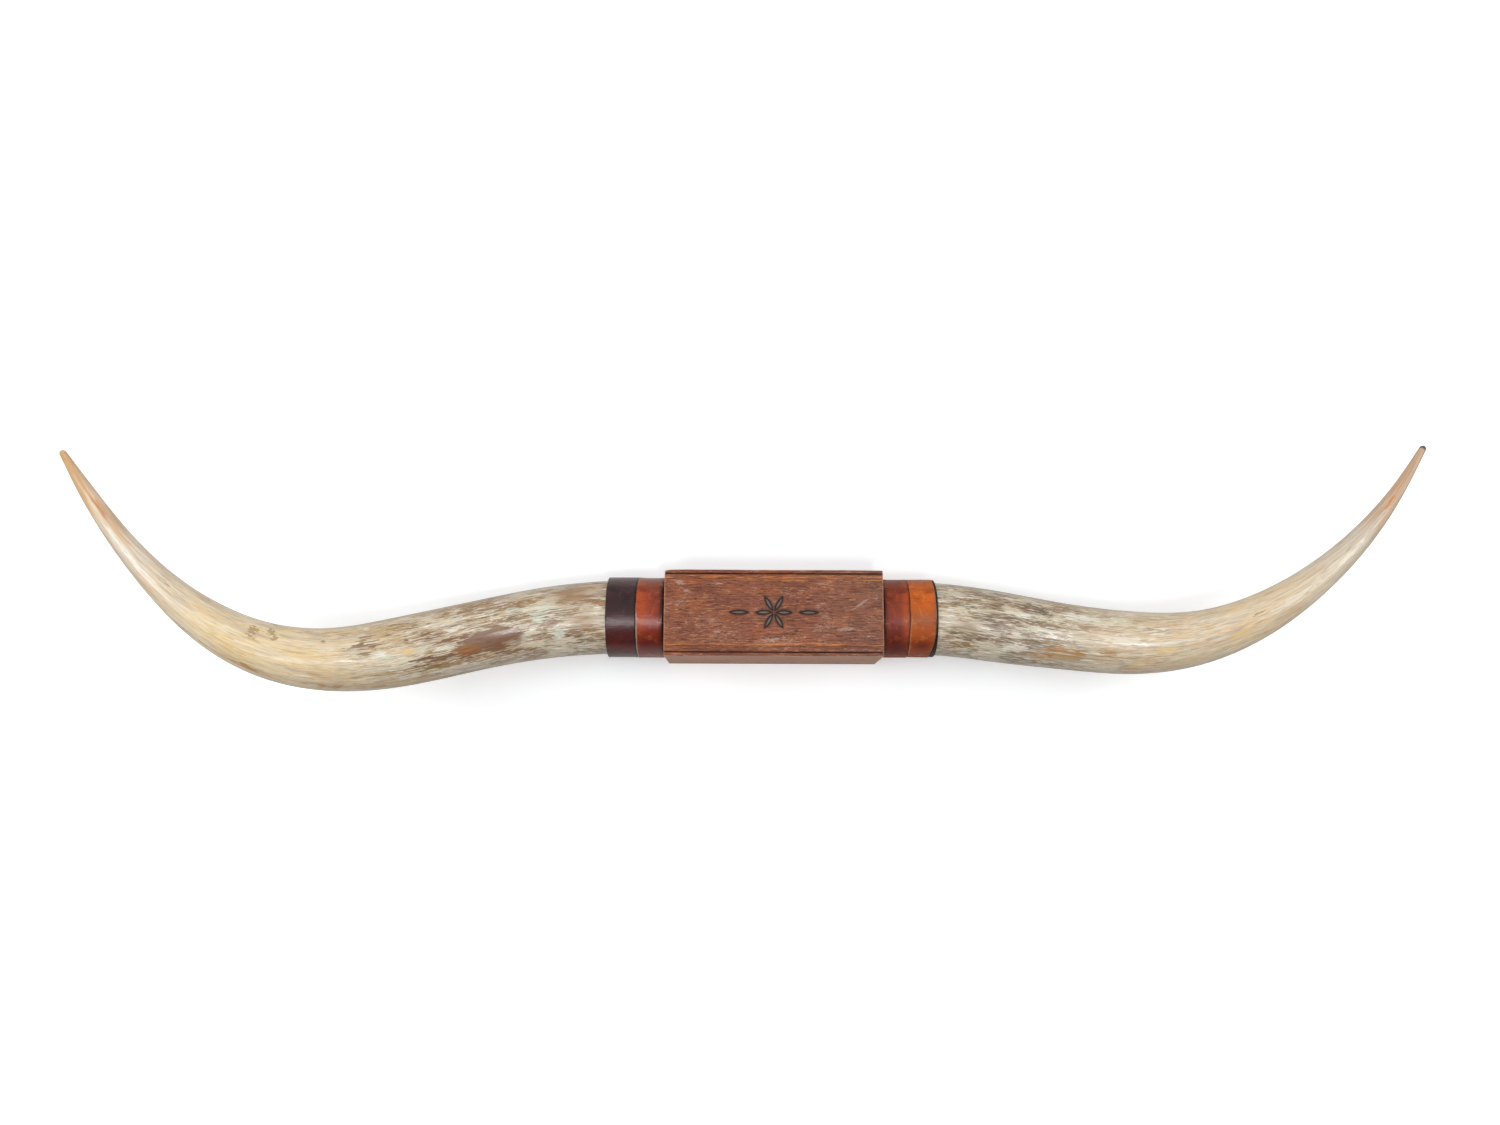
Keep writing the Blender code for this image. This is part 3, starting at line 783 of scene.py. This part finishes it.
def leaf_cut(x, z, spread=0.0):
    """How deep the cuts go, from 0 at a leaf's edge to 1 in its middle line. At t along the leaf
    the depth is (1 - |across| / half width) * (half width / widest). Spread makes it larger."""
    depth = np.zeros(np.broadcast(x, z).shape)
    for cx, cz, turn, length, width in LEAVES:
        along = (x - cx) * math.cos(turn) + (z - cz) * math.sin(turn)
        across = np.abs((z - cz) * math.cos(turn) - (x - cx) * math.sin(turn))
        half, w = length / 2 + spread, width / 2 + spread
        bow = (half**2 + w**2) / (2 * w)
        edge = np.sqrt(np.clip(bow**2 - along**2, 0, None)) - (bow - w)
        edge = np.where(np.abs(along) < half, edge, 0)
        inside = np.clip(1 - across / np.maximum(edge, 1e-6), 0, 1) * np.clip(edge / w, 0, 1)
        depth = np.maximum(depth, inside)
    return depth


carving_width = 2 * (LEAF_PLACE + LEAF_LENGTH / 2)
print("cuts:", len(LEAVES), "and the carving is", carving_width / MM, "mm wide")

# %% [markdown]
# ## The block of wood
# The outline runs along X in close steps, closer still behind the carving. Each point is then
# pushed in along the outline's own normal: by the raised grain, by the rubbing on the arrises
# (the edges that hands and shelves meet), by a chip at one corner and by the carved cuts.


# %% Grid of the block
def block_stations():
    """Places along X: 0.75 mm apart behind the carving, 1.5 mm beyond, closer at the ends."""
    half = BLOCK_LENGTH / 2
    middle = np.arange(-62, 62.01, 0.75) * MM
    side = np.linspace(62 * MM, half - 2 * MM, 50)[1:]
    end = half - np.array([1.5, 1.1, 0.7, 0.4, 0.15, 0.0]) * MM
    right = np.concatenate([side, end])
    return np.concatenate([-right[::-1], middle, right])


GRAIN_DEPTH, RUB_DEPTH, CHIP_DEPTH = 0.16 * MM, 0.55 * MM, 1.3 * MM
END_ROUNDING = 1.5 * MM


def inward_normals(outline):
    """Unit normals across the line from neighbour to neighbour, and how convex each point is:
    how far it stands out from the middle between its neighbours, 1 from 0.1 mm on."""
    ahead, back = np.roll(outline, -1, 0), np.roll(outline, 1, 0)
    run = ahead - back
    inward = np.stack([run[:, 1], -run[:, 0]], 1) / np.linalg.norm(run, axis=1)[:, None]
    if np.sum(inward * (outline - [-HORN_FORWARD, 0])) > 0:
        inward = -inward
    bend = outline - (ahead + back) / 2
    convex = np.clip(-np.sum(bend * inward, 1) / (0.10 * MM), 0, 1)[None, :]
    return inward, convex


def on_face(y):
    """1 on the flat front face, falling to 0 half a millimetre behind it."""
    return np.clip((-y - 107.5 * MM) / (0.5 * MM), 0, 1)


def block_grid(x, y, z, inward, convex, rub):
    """Point = (outline point + inward normal * push) * ease, from the horns' axis, where push =
    grain + rubbing * convex + chip + cut, and ease is below 1 only in the ends' rounding."""
    grain = 0.5 + 0.5 * ripple(2 * np.pi * (z / (40 * MM)), x, (6, 24), (60, 200), 31)
    push = GRAIN_DEPTH * grain + RUB_DEPTH * convex * rub
    corner_x, corner_z = x + BLOCK_LENGTH / 2, z - BLOCK_HEIGHT / 2
    corner = (corner_x / (5 * MM)) ** 2 + (corner_z / (4 * MM)) ** 2
    push = push + CHIP_DEPTH * np.exp(-corner) * (y < -90 * MM)
    push = push + CUT_DEPTH * (leaf_cut(x, z) * on_face(y))
    push = push * (y < -1 * MM)

    from_end = np.clip(END_ROUNDING - (BLOCK_LENGTH / 2 - np.abs(x)), 0, END_ROUNDING)
    rise = np.sqrt(np.clip(END_ROUNDING**2 - from_end**2, 0, None))
    ease = 1 - (END_ROUNDING - rise) / HORN_FORWARD
    section_y = (y + HORN_FORWARD + push * inward[:, 0]) * ease - HORN_FORWARD
    section_z = (z + push * inward[:, 1]) * ease
    return np.stack(np.broadcast_arrays(x, section_y, section_z), -1)


x, y, z = block_stations()[:, None], outline[:, 0][None, :], outline[:, 1][None, :]
inward, convex = inward_normals(outline)
rub = 0.5 + 0.5 * ripple(0 * z, x, (0, 0), (4, 30), 32)
grid = block_grid(x, y, z, inward, convex, rub)
print("grid of the block:", grid.shape[:2], "and the deepest cut is", CUT_DEPTH / MM, "mm")

# %% [markdown]
# ## Where the block is worn, scuffed or dark, and where light and shade are painted
# Fields on the points tell the material where things are: the rubbed arrises; the ends' edges,
# lighter from wear and a painted highlight; the grooves, dark from wax and painted shade; the
# underside, painted lighter by light from below; the cuts and the soot round them; the scuffs on
# the face; and the lips, which are the rubbed strips beside the grooves.

# %% Fields of the block
# Each scuff: out, up, half length and half width in mm, turn in degrees, strength
SCUFFS = [
    (-119, 38, 12, 4, -20, 1.0), (-110, 27, 10, 4, -30, 0.9), (-118, 12, 8, 4, 0, 0.6),
    (-72, -25, 7, 4, 20, 0.9), (-95, -17, 12, 4, 0, 0.6), (-4, -34, 24, 3, 0, 0.9),
    (30, -32, 18, 3, 4, 0.7), (109, 11, 16, 2.5, 35, 1.0), (92, -21, 26, 3.5, 4, 0.8),
    (120, -30, 12, 4, 0, 0.7), (-70, 37, 26, 3, 2, 0.7), (60, 36, 22, 3, -4, 0.5),
    (-128, -8, 6, 10, 0, 0.6), (128, 20, 6, 9, 0, 0.6),
]  # fmt: skip


def block_fields(x, y, z, convex, rub):
    """Each field is about 0 to 1. A scuff is strength * exp(-(along / half length)^2 - (across /
    half width)^2), and a lip exp(-(height from its middle / half height)^2)."""
    inner_arris = 0.35 + 0.65 * (np.abs(z) < 45 * MM)
    wear = convex * np.clip((-y - 95 * MM) / (5 * MM), 0, 1) * (0.4 + 0.6 * rub) * inner_arris
    # The ends' edges: partly wear, partly a painted highlight where the rounded arris catches
    # light.
    end_wear_and_highlight = np.exp(-((BLOCK_LENGTH / 2 - np.abs(x)) / (2.2 * MM)))
    # The V grooves: dark wax and painted shade.
    groove = np.clip(1.3 - np.abs(np.abs(z) - 49.7 * MM) / (1.0 * MM), 0, 1) * (y < -95 * MM)
    # The underside: painted lighter, as light bounced up from below.
    under = np.clip((-z - 54.0 * MM) / (0.8 * MM), 0, 1)
    cut, soot = leaf_cut(x, z) * on_face(y), leaf_cut(x, z, SOOT_SPREAD) * on_face(y)
    shape = np.broadcast(x, z).shape
    scuffed = np.zeros(shape)
    for out, up, half_length, half_width, turn, strength in SCUFFS:
        turn, right, rise = math.radians(turn), x / MM - out, z / MM - up
        along = (right * math.cos(turn) + rise * math.sin(turn)) / half_length
        across = (rise * math.cos(turn) - right * math.sin(turn)) / half_width
        scuffed = np.maximum(scuffed, strength * np.exp(-(along**2) - across**2) * on_face(y))
    upper_lip = np.exp(-(((z - 45 * MM) / (2.4 * MM)) ** 2))
    lower_lip = np.exp(-(((z + 40.5 * MM) / (2.2 * MM)) ** 2))
    lips = (upper_lip + lower_lip) * (y < -95 * MM)
    fields = {"wear": wear, "end_wear_and_highlight": end_wear_and_highlight, "groove": groove, "under": under}
    fields.update({"cut": cut, "soot": soot, "scuffed": scuffed, "lips": lips})
    return {name: np.broadcast_to(value, shape) for name, value in fields.items()}


fields = block_fields(x, y, z, convex, rub)
print("share of the block that is scuffed:", round(float((fields["scuffed"] > 0.5).mean()), 3))

# %% [markdown]
# ## Closing the ends and cutting the keyhole
# At each end the grid goes on: the outline shrinks to a circle at the same angles, and the circle
# goes inwards, which makes the round socket that the horn's butt sits in. So the sockets need no
# Boolean. The keyhole slot in the back takes the head of a wall screw. It is a true cut-out with
# an undercut behind a lip, so three Boolean cuts make it.

# %% Sockets and keyhole
SOCKET_RADIUS, SOCKET_DEPTH = 48.7 * MM, 10.5 * MM


def end_rows(last, side):
    """Rows from the outline to the socket's mouth, then in. On the way to the mouth a row is
    (1 - share) * outline + share * circle."""
    around = np.arctan2(last[:, 2], last[:, 1] + HORN_FORWARD)
    circle_y = SOCKET_RADIUS * np.cos(around) - HORN_FORWARD
    circle = np.stack([last[:, 0], circle_y, SOCKET_RADIUS * np.sin(around)], 1)
    rows = [(1 - share) * last + share * circle for share in (0.35, 0.7, 1.0)]
    rows += [circle - [side * depth, 0, 0] for depth in (0.4 * MM, 3 * MM, SOCKET_DEPTH)]
    return np.stack(rows)


left_end, right_end = end_rows(grid[0], -1)[::-1], end_rows(grid[-1], 1)
whole = np.concatenate([left_end, grid, right_end])
added = ((len(left_end), len(right_end)), (0, 0))
whole_fields = {name: np.pad(value, added) for name, value in fields.items()}
wood_block = add_surface("wood_block_surface", whole, numbers=whole_fields, sharp=38)


def slot_outline(radius, travel):
    """An upright slot with round ends, as (x, z) points."""
    lower = arc((0, 0), (radius, radius), 180, 360, 20)
    return np.array(lower + arc((0, travel), (radius, radius), 0, 180, 20))


def cut_away(piece, name, outline, depths, centre_z):
    """Cuts a prism of the outline from depths[0] to depths[1] behind the wall plane."""
    flat = np.stack([outline[:, 0], 0 * outline[:, 0], outline[:, 1] + centre_z], 1)
    cutter = add_surface(name, np.stack([flat - [0, depth, 0] for depth in depths]))
    change = piece.modifiers.new(name, "BOOLEAN")
    change.operation, change.solver, change.object = "DIFFERENCE", "EXACT", cutter
    return cutter


ENTRY, NECK, UNDERCUT, TRAVEL = 6.0 * MM, 3.0 * MM, 5.8 * MM, 15 * MM
cutters = [
    cut_away(wood_block, "entry", slot_outline(ENTRY, 0.01 * MM), (-5 * MM, 14.3 * MM), 16 * MM),
    cut_away(wood_block, "neck", slot_outline(NECK, TRAVEL), (-5 * MM, 9 * MM), 16 * MM),
    cut_away(wood_block, "undercut", slot_outline(UNDERCUT, TRAVEL), (4 * MM, 14 * MM), 16 * MM),
]
graph = bpy.context.evaluated_depsgraph_get()
carved = bpy.data.meshes.new_from_object(wood_block.evaluated_get(graph))
wood_block.modifiers.clear()
wood_block.data = carved
for cutter in cutters:
    bpy.data.objects.remove(cutter, do_unlink=True)
print("the block with its keyhole has", len(carved.polygons), "faces")

# %% [markdown]
# ## Stained and worn timber
# The wood is a coarse-grained softwood or a rough hardwood under red-brown stain. The stain sank
# unevenly, the pores stayed dark, and handling rubbed the arrises back to bare orange wood.
# Growth rings are cylinders round the tree's pith. With the pith as a line along X behind and
# below the block, the distance from that line gives arcs on the sawn ends and long lines on the
# faces at once, as in real timber. Rings lie about 3 mm apart here.
# A ragged noise breaks up the edges of the wear, the scuffs and the lips. The underside is painted
# lighter, as light bounced up from below. The V grooves are painted dark, partly dark wax and
# partly painted shade, and the ends' edges lighter, partly wear and partly a painted highlight. A
# grey line along the middle of each carved cut is a painted highlight where light catches its
# bottom.


# %% Wood material
PITH, RING_SPACING, RING_BEND = (0.0, -0.02, -0.16), 3 * MM, 0.012


def make_wood_material(name):
    """Stain, grain, wear and painted light and shade in layers over the first stain. Rings = the
    fraction left over from (distance from the pith + bend * warp) / spacing. The bump is streaks
    minus pores."""
    material, tree = new_material(name)
    place = add(tree, "TexCoord", output="Object")
    noises = {
        "warp": (70, 14, 3, 0.0),
        "cloud": (60, 20, 3, 0.3),
        "second_cloud": (38, 12, 4, 0.4),
        "streak": (20, 1.3, 5, 0.3),
        "second_streak": (11, 1.4, 5, 0.5),
        "pore": (5, 0.9, 3, 0.4),
        "scuff": (5, 1.2, 6, 1.2),
        "scuff_zone": (50, 26, 2, 0.5),
        "ragged": (10, 2.2, 4, 0.3),
        "lip_streak": (22, 0.8, 5, 0.3),
    }
    fields = ["wear", "end_wear_and_highlight", "groove", "under", "cut", "soot", "scuffed", "lips"]
    sums = {"rubbed": ("scuff", 0.7, "scuff_zone"), "scraped": ("scuffed", 2.0, "scuff")}
    patterns = add_patterns(tree, place, noises, fields, sums)

    pith = add(tree, "VectorMath", {0: place, 1: PITH}, operation="SUBTRACT")
    flat = add(tree, "VectorMath", {0: pith, 1: (0.0, 1.0, 1.0)}, operation="MULTIPLY")
    reach = add(tree, "VectorMath", {0: flat}, operation="LENGTH", output="Value")
    bent = {0: patterns["warp"], 1: RING_BEND, 2: reach}
    bent = add(tree, "Math", bent, operation="MULTIPLY_ADD")
    counted = add(tree, "Math", {0: bent, 1: 1 / RING_SPACING}, operation="MULTIPLY")
    patterns["rings"] = add(tree, "Math", {0: counted}, operation="FRACT")

    for label, field in (("worn", "wear"), ("end_worn_and_highlight", "end_wear_and_highlight")):
        sockets = {0: patterns[field], 1: patterns["ragged"]}
        patterns[label] = add(tree, "Math", sockets, operation="MULTIPLY")
    patterns["rightwards"] = add(tree, "SeparateXYZ", {0: place}, output="X")
    layers = [
        ("#7A4232", "cloud", 0.46, 0.64, 0.60, None),
        ("#A95E36", "second_cloud", 0.49, 0.66, 0.65, None),
        ("#826254", "rightwards", 0.0, 0.14, 0.40, None),
        ("#6A3A2C", "rings", 0.45, 0.98, 0.35, None),
        ("#4C291F", "streak", 0.52, 0.62, 0.65, None),
        # Painted light: the underside is painted lighter, as light bounced up from below.
        ("#E0AE94", "under", 0.2, 0.8, 0.74, None),
        ("#C48A62", "second_streak", 0.56, 0.65, 0.60, None),
        ("#321C16", "pore", 0.59, 0.66, 0.80, None),
        ("#C39A80", "rubbed", 0.98, 1.07, 0.50, None),
        ("#C2AA9E", "scraped", 1.62, 1.80, 0.50, None),
        ("#E0904A", "lip_streak", 0.52, 0.61, 0.90, "lips"),
        # Dark wax and painted shade in the V grooves.
        ("#2E1A15", "groove", 0.3, 1.0, 0.80, None),
        ("#DA8B4A", "worn", 0.14, 0.36, 0.90, None),
        # Wear and a painted highlight on the ends' edges.
        ("#C79272", "end_worn_and_highlight", 0.20, 0.42, 0.75, None),
        ("#352420", "soot", 0.03, 0.55, 0.70, None),
        ("#241D1A", "cut", 0.02, 0.12, 0.90, None),
        # Painted highlight: a grey line along each cut's middle, where light catches its bottom.
        ("#857A70", "cut", 0.42, 0.80, 0.70, None),
    ]
    colour = add_layers(tree, linear("#91553C"), patterns, layers)
    height = {0: patterns["streak"], 1: patterns["pore"]}
    height = add(tree, "Math", height, operation="SUBTRACT")
    shader = {"IOR": 1.5, "Specular IOR Level": 0.3, "Coat Weight": 0.1, "Coat Roughness": 0.3}
    finish(tree, colour, height, 0.35, (patterns["cloud"], 0.46, 0.64), shader)
    return material


stained_wood = make_wood_material("red_brown_stained_timber")
place_piece(wood_block, "wood_block", stained_wood)
print("nodes in the wood's material:", len(stained_wood.node_tree.nodes))

# %% [markdown]
# ## A strip of leather round a horn
# Each band is a strip of vegetable-tanned leather about 3 mm thick, cut to width, dyed, pulled
# tight while damp and glued, with its ends butted together behind. So it is a small outline, the
# strip's cut section, carried round the horn's axis as a ring.
# Its edges wander by a few tenths of a millimetre because a knife cut them. The strips next to
# the block have their near edge turned down like a shoulder, and they bag a little at the
# bottom. At the back a shallow groove marks the butt joint, which is a guess.


# %% Band grid
EDGE_WANDER, CREASE_DEPTH, WAVE_DEPTH = 0.30 * MM, 0.07 * MM, 0.16 * MM
SEAM_DEPTH, SEAM_WIDTH = 1.2 * MM, 0.7 * MM


def band_grid(out, radii, rolled, side, seed, sag=0.0, far_cut=0.0, near_cut=0.0, columns=480):
    """A strip's section carried round the horn: with u across the section and the angle round,
    point = (side * out(u, angle), r * sin(angle) forward, r * cos(angle) up).
    Rolled is the height of the shoulder, sag the bulge below, and far_cut and near_cut how far
    the edges move towards the block at the bottom."""
    start, end = np.array(out) * MM
    inner, outer = np.array(radii) * MM
    thick, soft = outer - inner, 0.6 * MM
    drop = min(rolled * MM, thick - soft)
    near = np.array(arc((start + rolled * MM, outer - drop), (rolled * MM, drop), 180, 90, 8))
    far = np.array(arc((end - soft, outer - soft), (soft, soft), 90, 0, 4))
    outside = np.linspace(near[-1], far[0], 24)[1:-1]
    inside = np.array([(end, inner), ((start + end) / 2, inner), (start, inner)])
    section = np.concatenate([near, outside, far, inside])
    place, height = section[:, 0][None, :], section[:, 1][None, :]
    width = end - start
    share = (place - start) / width

    angle = np.linspace(0, 2 * np.pi, columns, endpoint=False)[:, None]
    low = np.clip(-np.cos(angle), 0, 1) ** 2
    wander = EDGE_WANDER * ripple(angle, 0 * angle, (2, 9), (50, 90), seed)
    second = EDGE_WANDER * ripple(angle, 0 * angle, (3, 14), (50, 90), seed + 1)
    place = place - np.abs(wander) * share + np.abs(second) * (1 - share)
    place = place - far_cut * MM * low**2 * np.clip(share * 1.6 - 0.6, 0, 1)
    place = place - near_cut * MM * low**2 * (1 - share)
    on_top = np.clip((height - inner) / thick, 0, 1)
    crease = ripple(angle, 6 * place, (60, 200), (2, 9), seed + 2, terms=24)
    waves = ripple(angle, place, (3, 9), (8, 30), seed + 3)
    seam_gap = (angle - 1.5 * np.pi) * outer
    seam = np.exp(-((seam_gap / SEAM_WIDTH) ** 2))
    relief = CREASE_DEPTH * (1 + crease) + WAVE_DEPTH * (1 + waves) + SEAM_DEPTH * seam
    r = height - on_top * relief
    r = r + on_top * sag * MM * (low - 1) * np.sin(np.pi * np.clip(share, 0, 1)) ** 0.5
    grid = np.stack(
        np.broadcast_arrays(side * place, -HORN_FORWARD - r * np.sin(angle), r * np.cos(angle)), -1
    )
    return grid, share, angle, on_top, seam


def band_colours(share, angle, on_top, seam, strip_colour, tints):
    """The dye mixed with each tint (angle, half angle, share, half share, colour, strength) by
    strength * exp(-(angle gap / half angle)^2 - (share gap / half share)^2)."""
    shape = np.broadcast(share, angle).shape
    colour = np.broadcast_to(np.array(linear(strip_colour)), (*shape, 4)).copy()
    for turn, half_turn, place, half_place, tint, strength in tints:
        gap = (np.degrees(angle) - turn + 180) % 360 - 180
        weight = strength * np.exp(-((gap / half_turn) ** 2) - ((share - place) / half_place) ** 2)
        colour += weight[..., None] * (np.array(linear(tint)) - colour)
    edge = np.clip(1.2 - on_top, 0, 1) + seam * 0.8
    hide = np.stack(
        np.broadcast_arrays(0.035 * share, 0.05 * np.cos(angle), 0.05 * np.sin(angle)), -1
    )
    return {
        "numbers": {"edge": np.broadcast_to(edge, shape)},
        "vectors": {"hide": hide},
        "colours": {"strip_colour": colour},
    }


# %% [markdown]
# ## Dyed leather
# The bands were dyed by hand and have aged: the colour is patchy and darker towards the bottom,
# and the grain has fine creases across the strip that break up the shine. The pores are about half
# a millimetre apart and are drawn at 1.2 mm, so that they show. Wax still shines on the left
# joint's strips, as a clear coat, and has worn off the right joint's. Next to the block a dark
# strip is painted shade.


# %% Leather material
def make_leather_material(name, dark, light, gloss, coat):
    """The dye, then dark and light clouds, creases, pores and the dark cut edge. The bump is
    creases plus pores, and gloss gives the roughness of its smooth and its dull places."""
    material, tree = new_material(name)
    hide = add(tree, "Attribute", output="Vector", attribute_name="hide")
    strip_colour = add(tree, "Attribute", output="Color", attribute_name="strip_colour")
    noises = {
        "cloud": (16, 12, 3, 0.6),
        "second_cloud": (9, 10, 4, 0.8),
        "crease": (14, 1.2, 4, 0.6),
        "pore": (1.2, 1.2, 1, 0.0),
    }
    patterns = add_patterns(tree, hide, noises, ["edge"])
    layers = [
        (dark, "cloud", 0.50, 0.70, 0.55, None),
        (light, "second_cloud", 0.52, 0.72, 0.45, None),
        (dark, "crease", 0.54, 0.70, 0.50, None),
        (dark, "pore", 0.62, 0.75, 0.35, None),
        ("#1A100D", "edge", 0.35, 0.95, 0.80, None),
    ]
    colour = add_layers(tree, strip_colour, patterns, layers)
    height = add(tree, "Math", {0: patterns["crease"], 1: patterns["pore"]}, operation="ADD")
    shader = {"IOR": 1.5, "Specular IOR Level": 0.2, "Coat Weight": coat, "Coat Roughness": 0.15}
    finish(tree, colour, height, 0.16, (patterns["cloud"], *gloss), shader)
    return material


# Each leather: dark and light patches, roughness from smooth to dull, and coat of wax
LEATHERS = {
    "red_brown_bridle_leather": ("#5A1C10", "#C0602F", (0.34, 0.48), 0.75),
    "worn_red_brown_bridle_leather": ("#5A1C10", "#B8582C", (0.46, 0.60), 0.20),
    "dark_brown_bridle_leather": ("#1E1112", "#5A3630", (0.36, 0.48), 0.75),
    "orange_tan_bridle_leather": ("#7C3517", "#DB8444", (0.46, 0.60), 0.20),
    "black_edge_leather": ("#0F0D0C", "#2C2624", (0.45, 0.60), 0.20),
}
leathers = {name: make_leather_material(name, *look) for name, look in LEATHERS.items()}
print("leathers:", [(name, len(leather.node_tree.nodes)) for name, leather in leathers.items()])

# %% [markdown]
# ## The five strips
# Each strip takes its place and thickness from the imported model. The tints say how the colour
# changes round it: angle 0 is the top, 90 the front and 180 the bottom, and a share of 0 is the
# edge next to the block. The near-black tints next to the block are painted shade, the greyer tints
# along the top are a painted sheen, and the greyer tint across the front of the right outer strip
# is a painted dull highlight.

# %% Make the bands
BANDS = {
    "left_inner_band": (
        dict(out=(138.6, 173.8), radii=(48.9, 52.3), rolled=3.6, side=-1, seed=51, sag=0.9),
        "#93391F", "red_brown_bridle_leather", "red_brown_leather",
        [(80, 60, 0.85, 0.28, "#B44A1C", 0.95), (45, 40, 0.35, 0.35, "#8A432A", 0.7),
         # The grey-brown tint at 10 degrees is a painted sheen along the top.
         (140, 26, 0.5, 0.9, "#5E1407", 1.0), (10, 20, 0.5, 0.9, "#7A5142", 0.8),
         (110, 24, 0.3, 0.25, "#84281A", 0.7), (172, 14, 0.5, 0.8, "#6E3424", 0.8),
         # The near-black tint at share 0 is painted shade next to the block.
         (140, 40, 1.0, 0.03, "#DCC2A0", 0.9), (90, 100, 0.05, 0.11, "#1C0C08", 1.0)],
    ),
    "left_outer_band": (
        dict(out=(174.1, 212.2), radii=(48.9, 52.0), rolled=0.8, side=-1, seed=61),
        "#412526", "dark_brown_bridle_leather", "dark_brown_leather",
        [(140, 24, 0.45, 0.9, "#581005", 1.0), (75, 22, 0.4, 0.6, "#342022", 0.8),
         # The grey tint at 20 degrees is a painted sheen along the top.
         (20, 22, 0.5, 0.8, "#5C423C", 0.8), (178, 12, 0.5, 1.0, "#4A2A22", 0.8),
         (105, 10, 0.5, 0.8, "#56302C", 0.6), (90, 100, 0.0, 0.05, "#0C0807", 1.0)],
    ),
    "right_inner_band": (
        dict(out=(138.6, 171.8), radii=(48.4, 51.1), rolled=2.4, side=1, seed=71, sag=0.7),
        "#8E3F25", "worn_red_brown_bridle_leather", "red_brown_leather",
        [(60, 24, 0.4, 0.5, "#843820", 0.7), (105, 24, 0.4, 0.4, "#7C3630", 0.7),
         (95, 60, 0.85, 0.14, "#B25026", 0.8), (125, 16, 0.5, 0.3, "#5E2420", 0.7),
         # The grey-brown tint at 15 degrees is a painted sheen along the top.
         (147, 20, 0.5, 0.7, "#581A0A", 0.95), (15, 18, 0.5, 0.9, "#86604C", 0.8),
         # The near-black tint at share 0 is painted shade next to the block.
         (90, 80, 1.0, 0.035, "#3A1A10", 0.9), (90, 100, 0.0, 0.12, "#1C0C08", 1.0)],
    ),
    "right_outer_band": (
        dict(out=(172.1, 204.8), radii=(48.6, 50.6), rolled=0.8, side=1, seed=81, far_cut=4.6),
        "#B2581F", "orange_tan_bridle_leather", "orange_tan_leather",
        # The greyer tint at 100 degrees is a painted dull highlight across the front.
        [(62, 28, 0.6, 0.6, "#CF6420", 1.0), (100, 10, 0.4, 0.6, "#9A5A3C", 0.8),
         (118, 14, 0.6, 0.5, "#B2552E", 0.8), (142, 15, 0.5, 0.6, "#6E2009", 0.95),
         # The grey-brown tint at 12 degrees is a painted sheen along the top.
         (168, 14, 0.5, 0.8, "#7E3A24", 0.8), (12, 16, 0.5, 0.8, "#A67A58", 0.8),
         (140, 32, 0.0, 0.03, "#D8B088", 0.6), (100, 40, 1.0, 0.10, "#8A5A44", 0.7)],
    ),
    "right_edging": (
        dict(out=(205.1, 207.3), radii=(48.6, 50.4), rolled=0.8, side=1, seed=91, near_cut=4.6),
        "#25211F", "black_edge_leather", "black_edging", [],
    ),
}  # fmt: skip
for node, (size, strip_colour, leather, slot, tints) in BANDS.items():
    grid, share, angle, on_top, seam = band_grid(**size)
    looks = band_colours(share, angle, on_top, seam, strip_colour, tints)
    band = add_surface(node + "_strip", grid, ring=True, sharp=60, **looks)
    place_piece(band, node, leathers[leather])
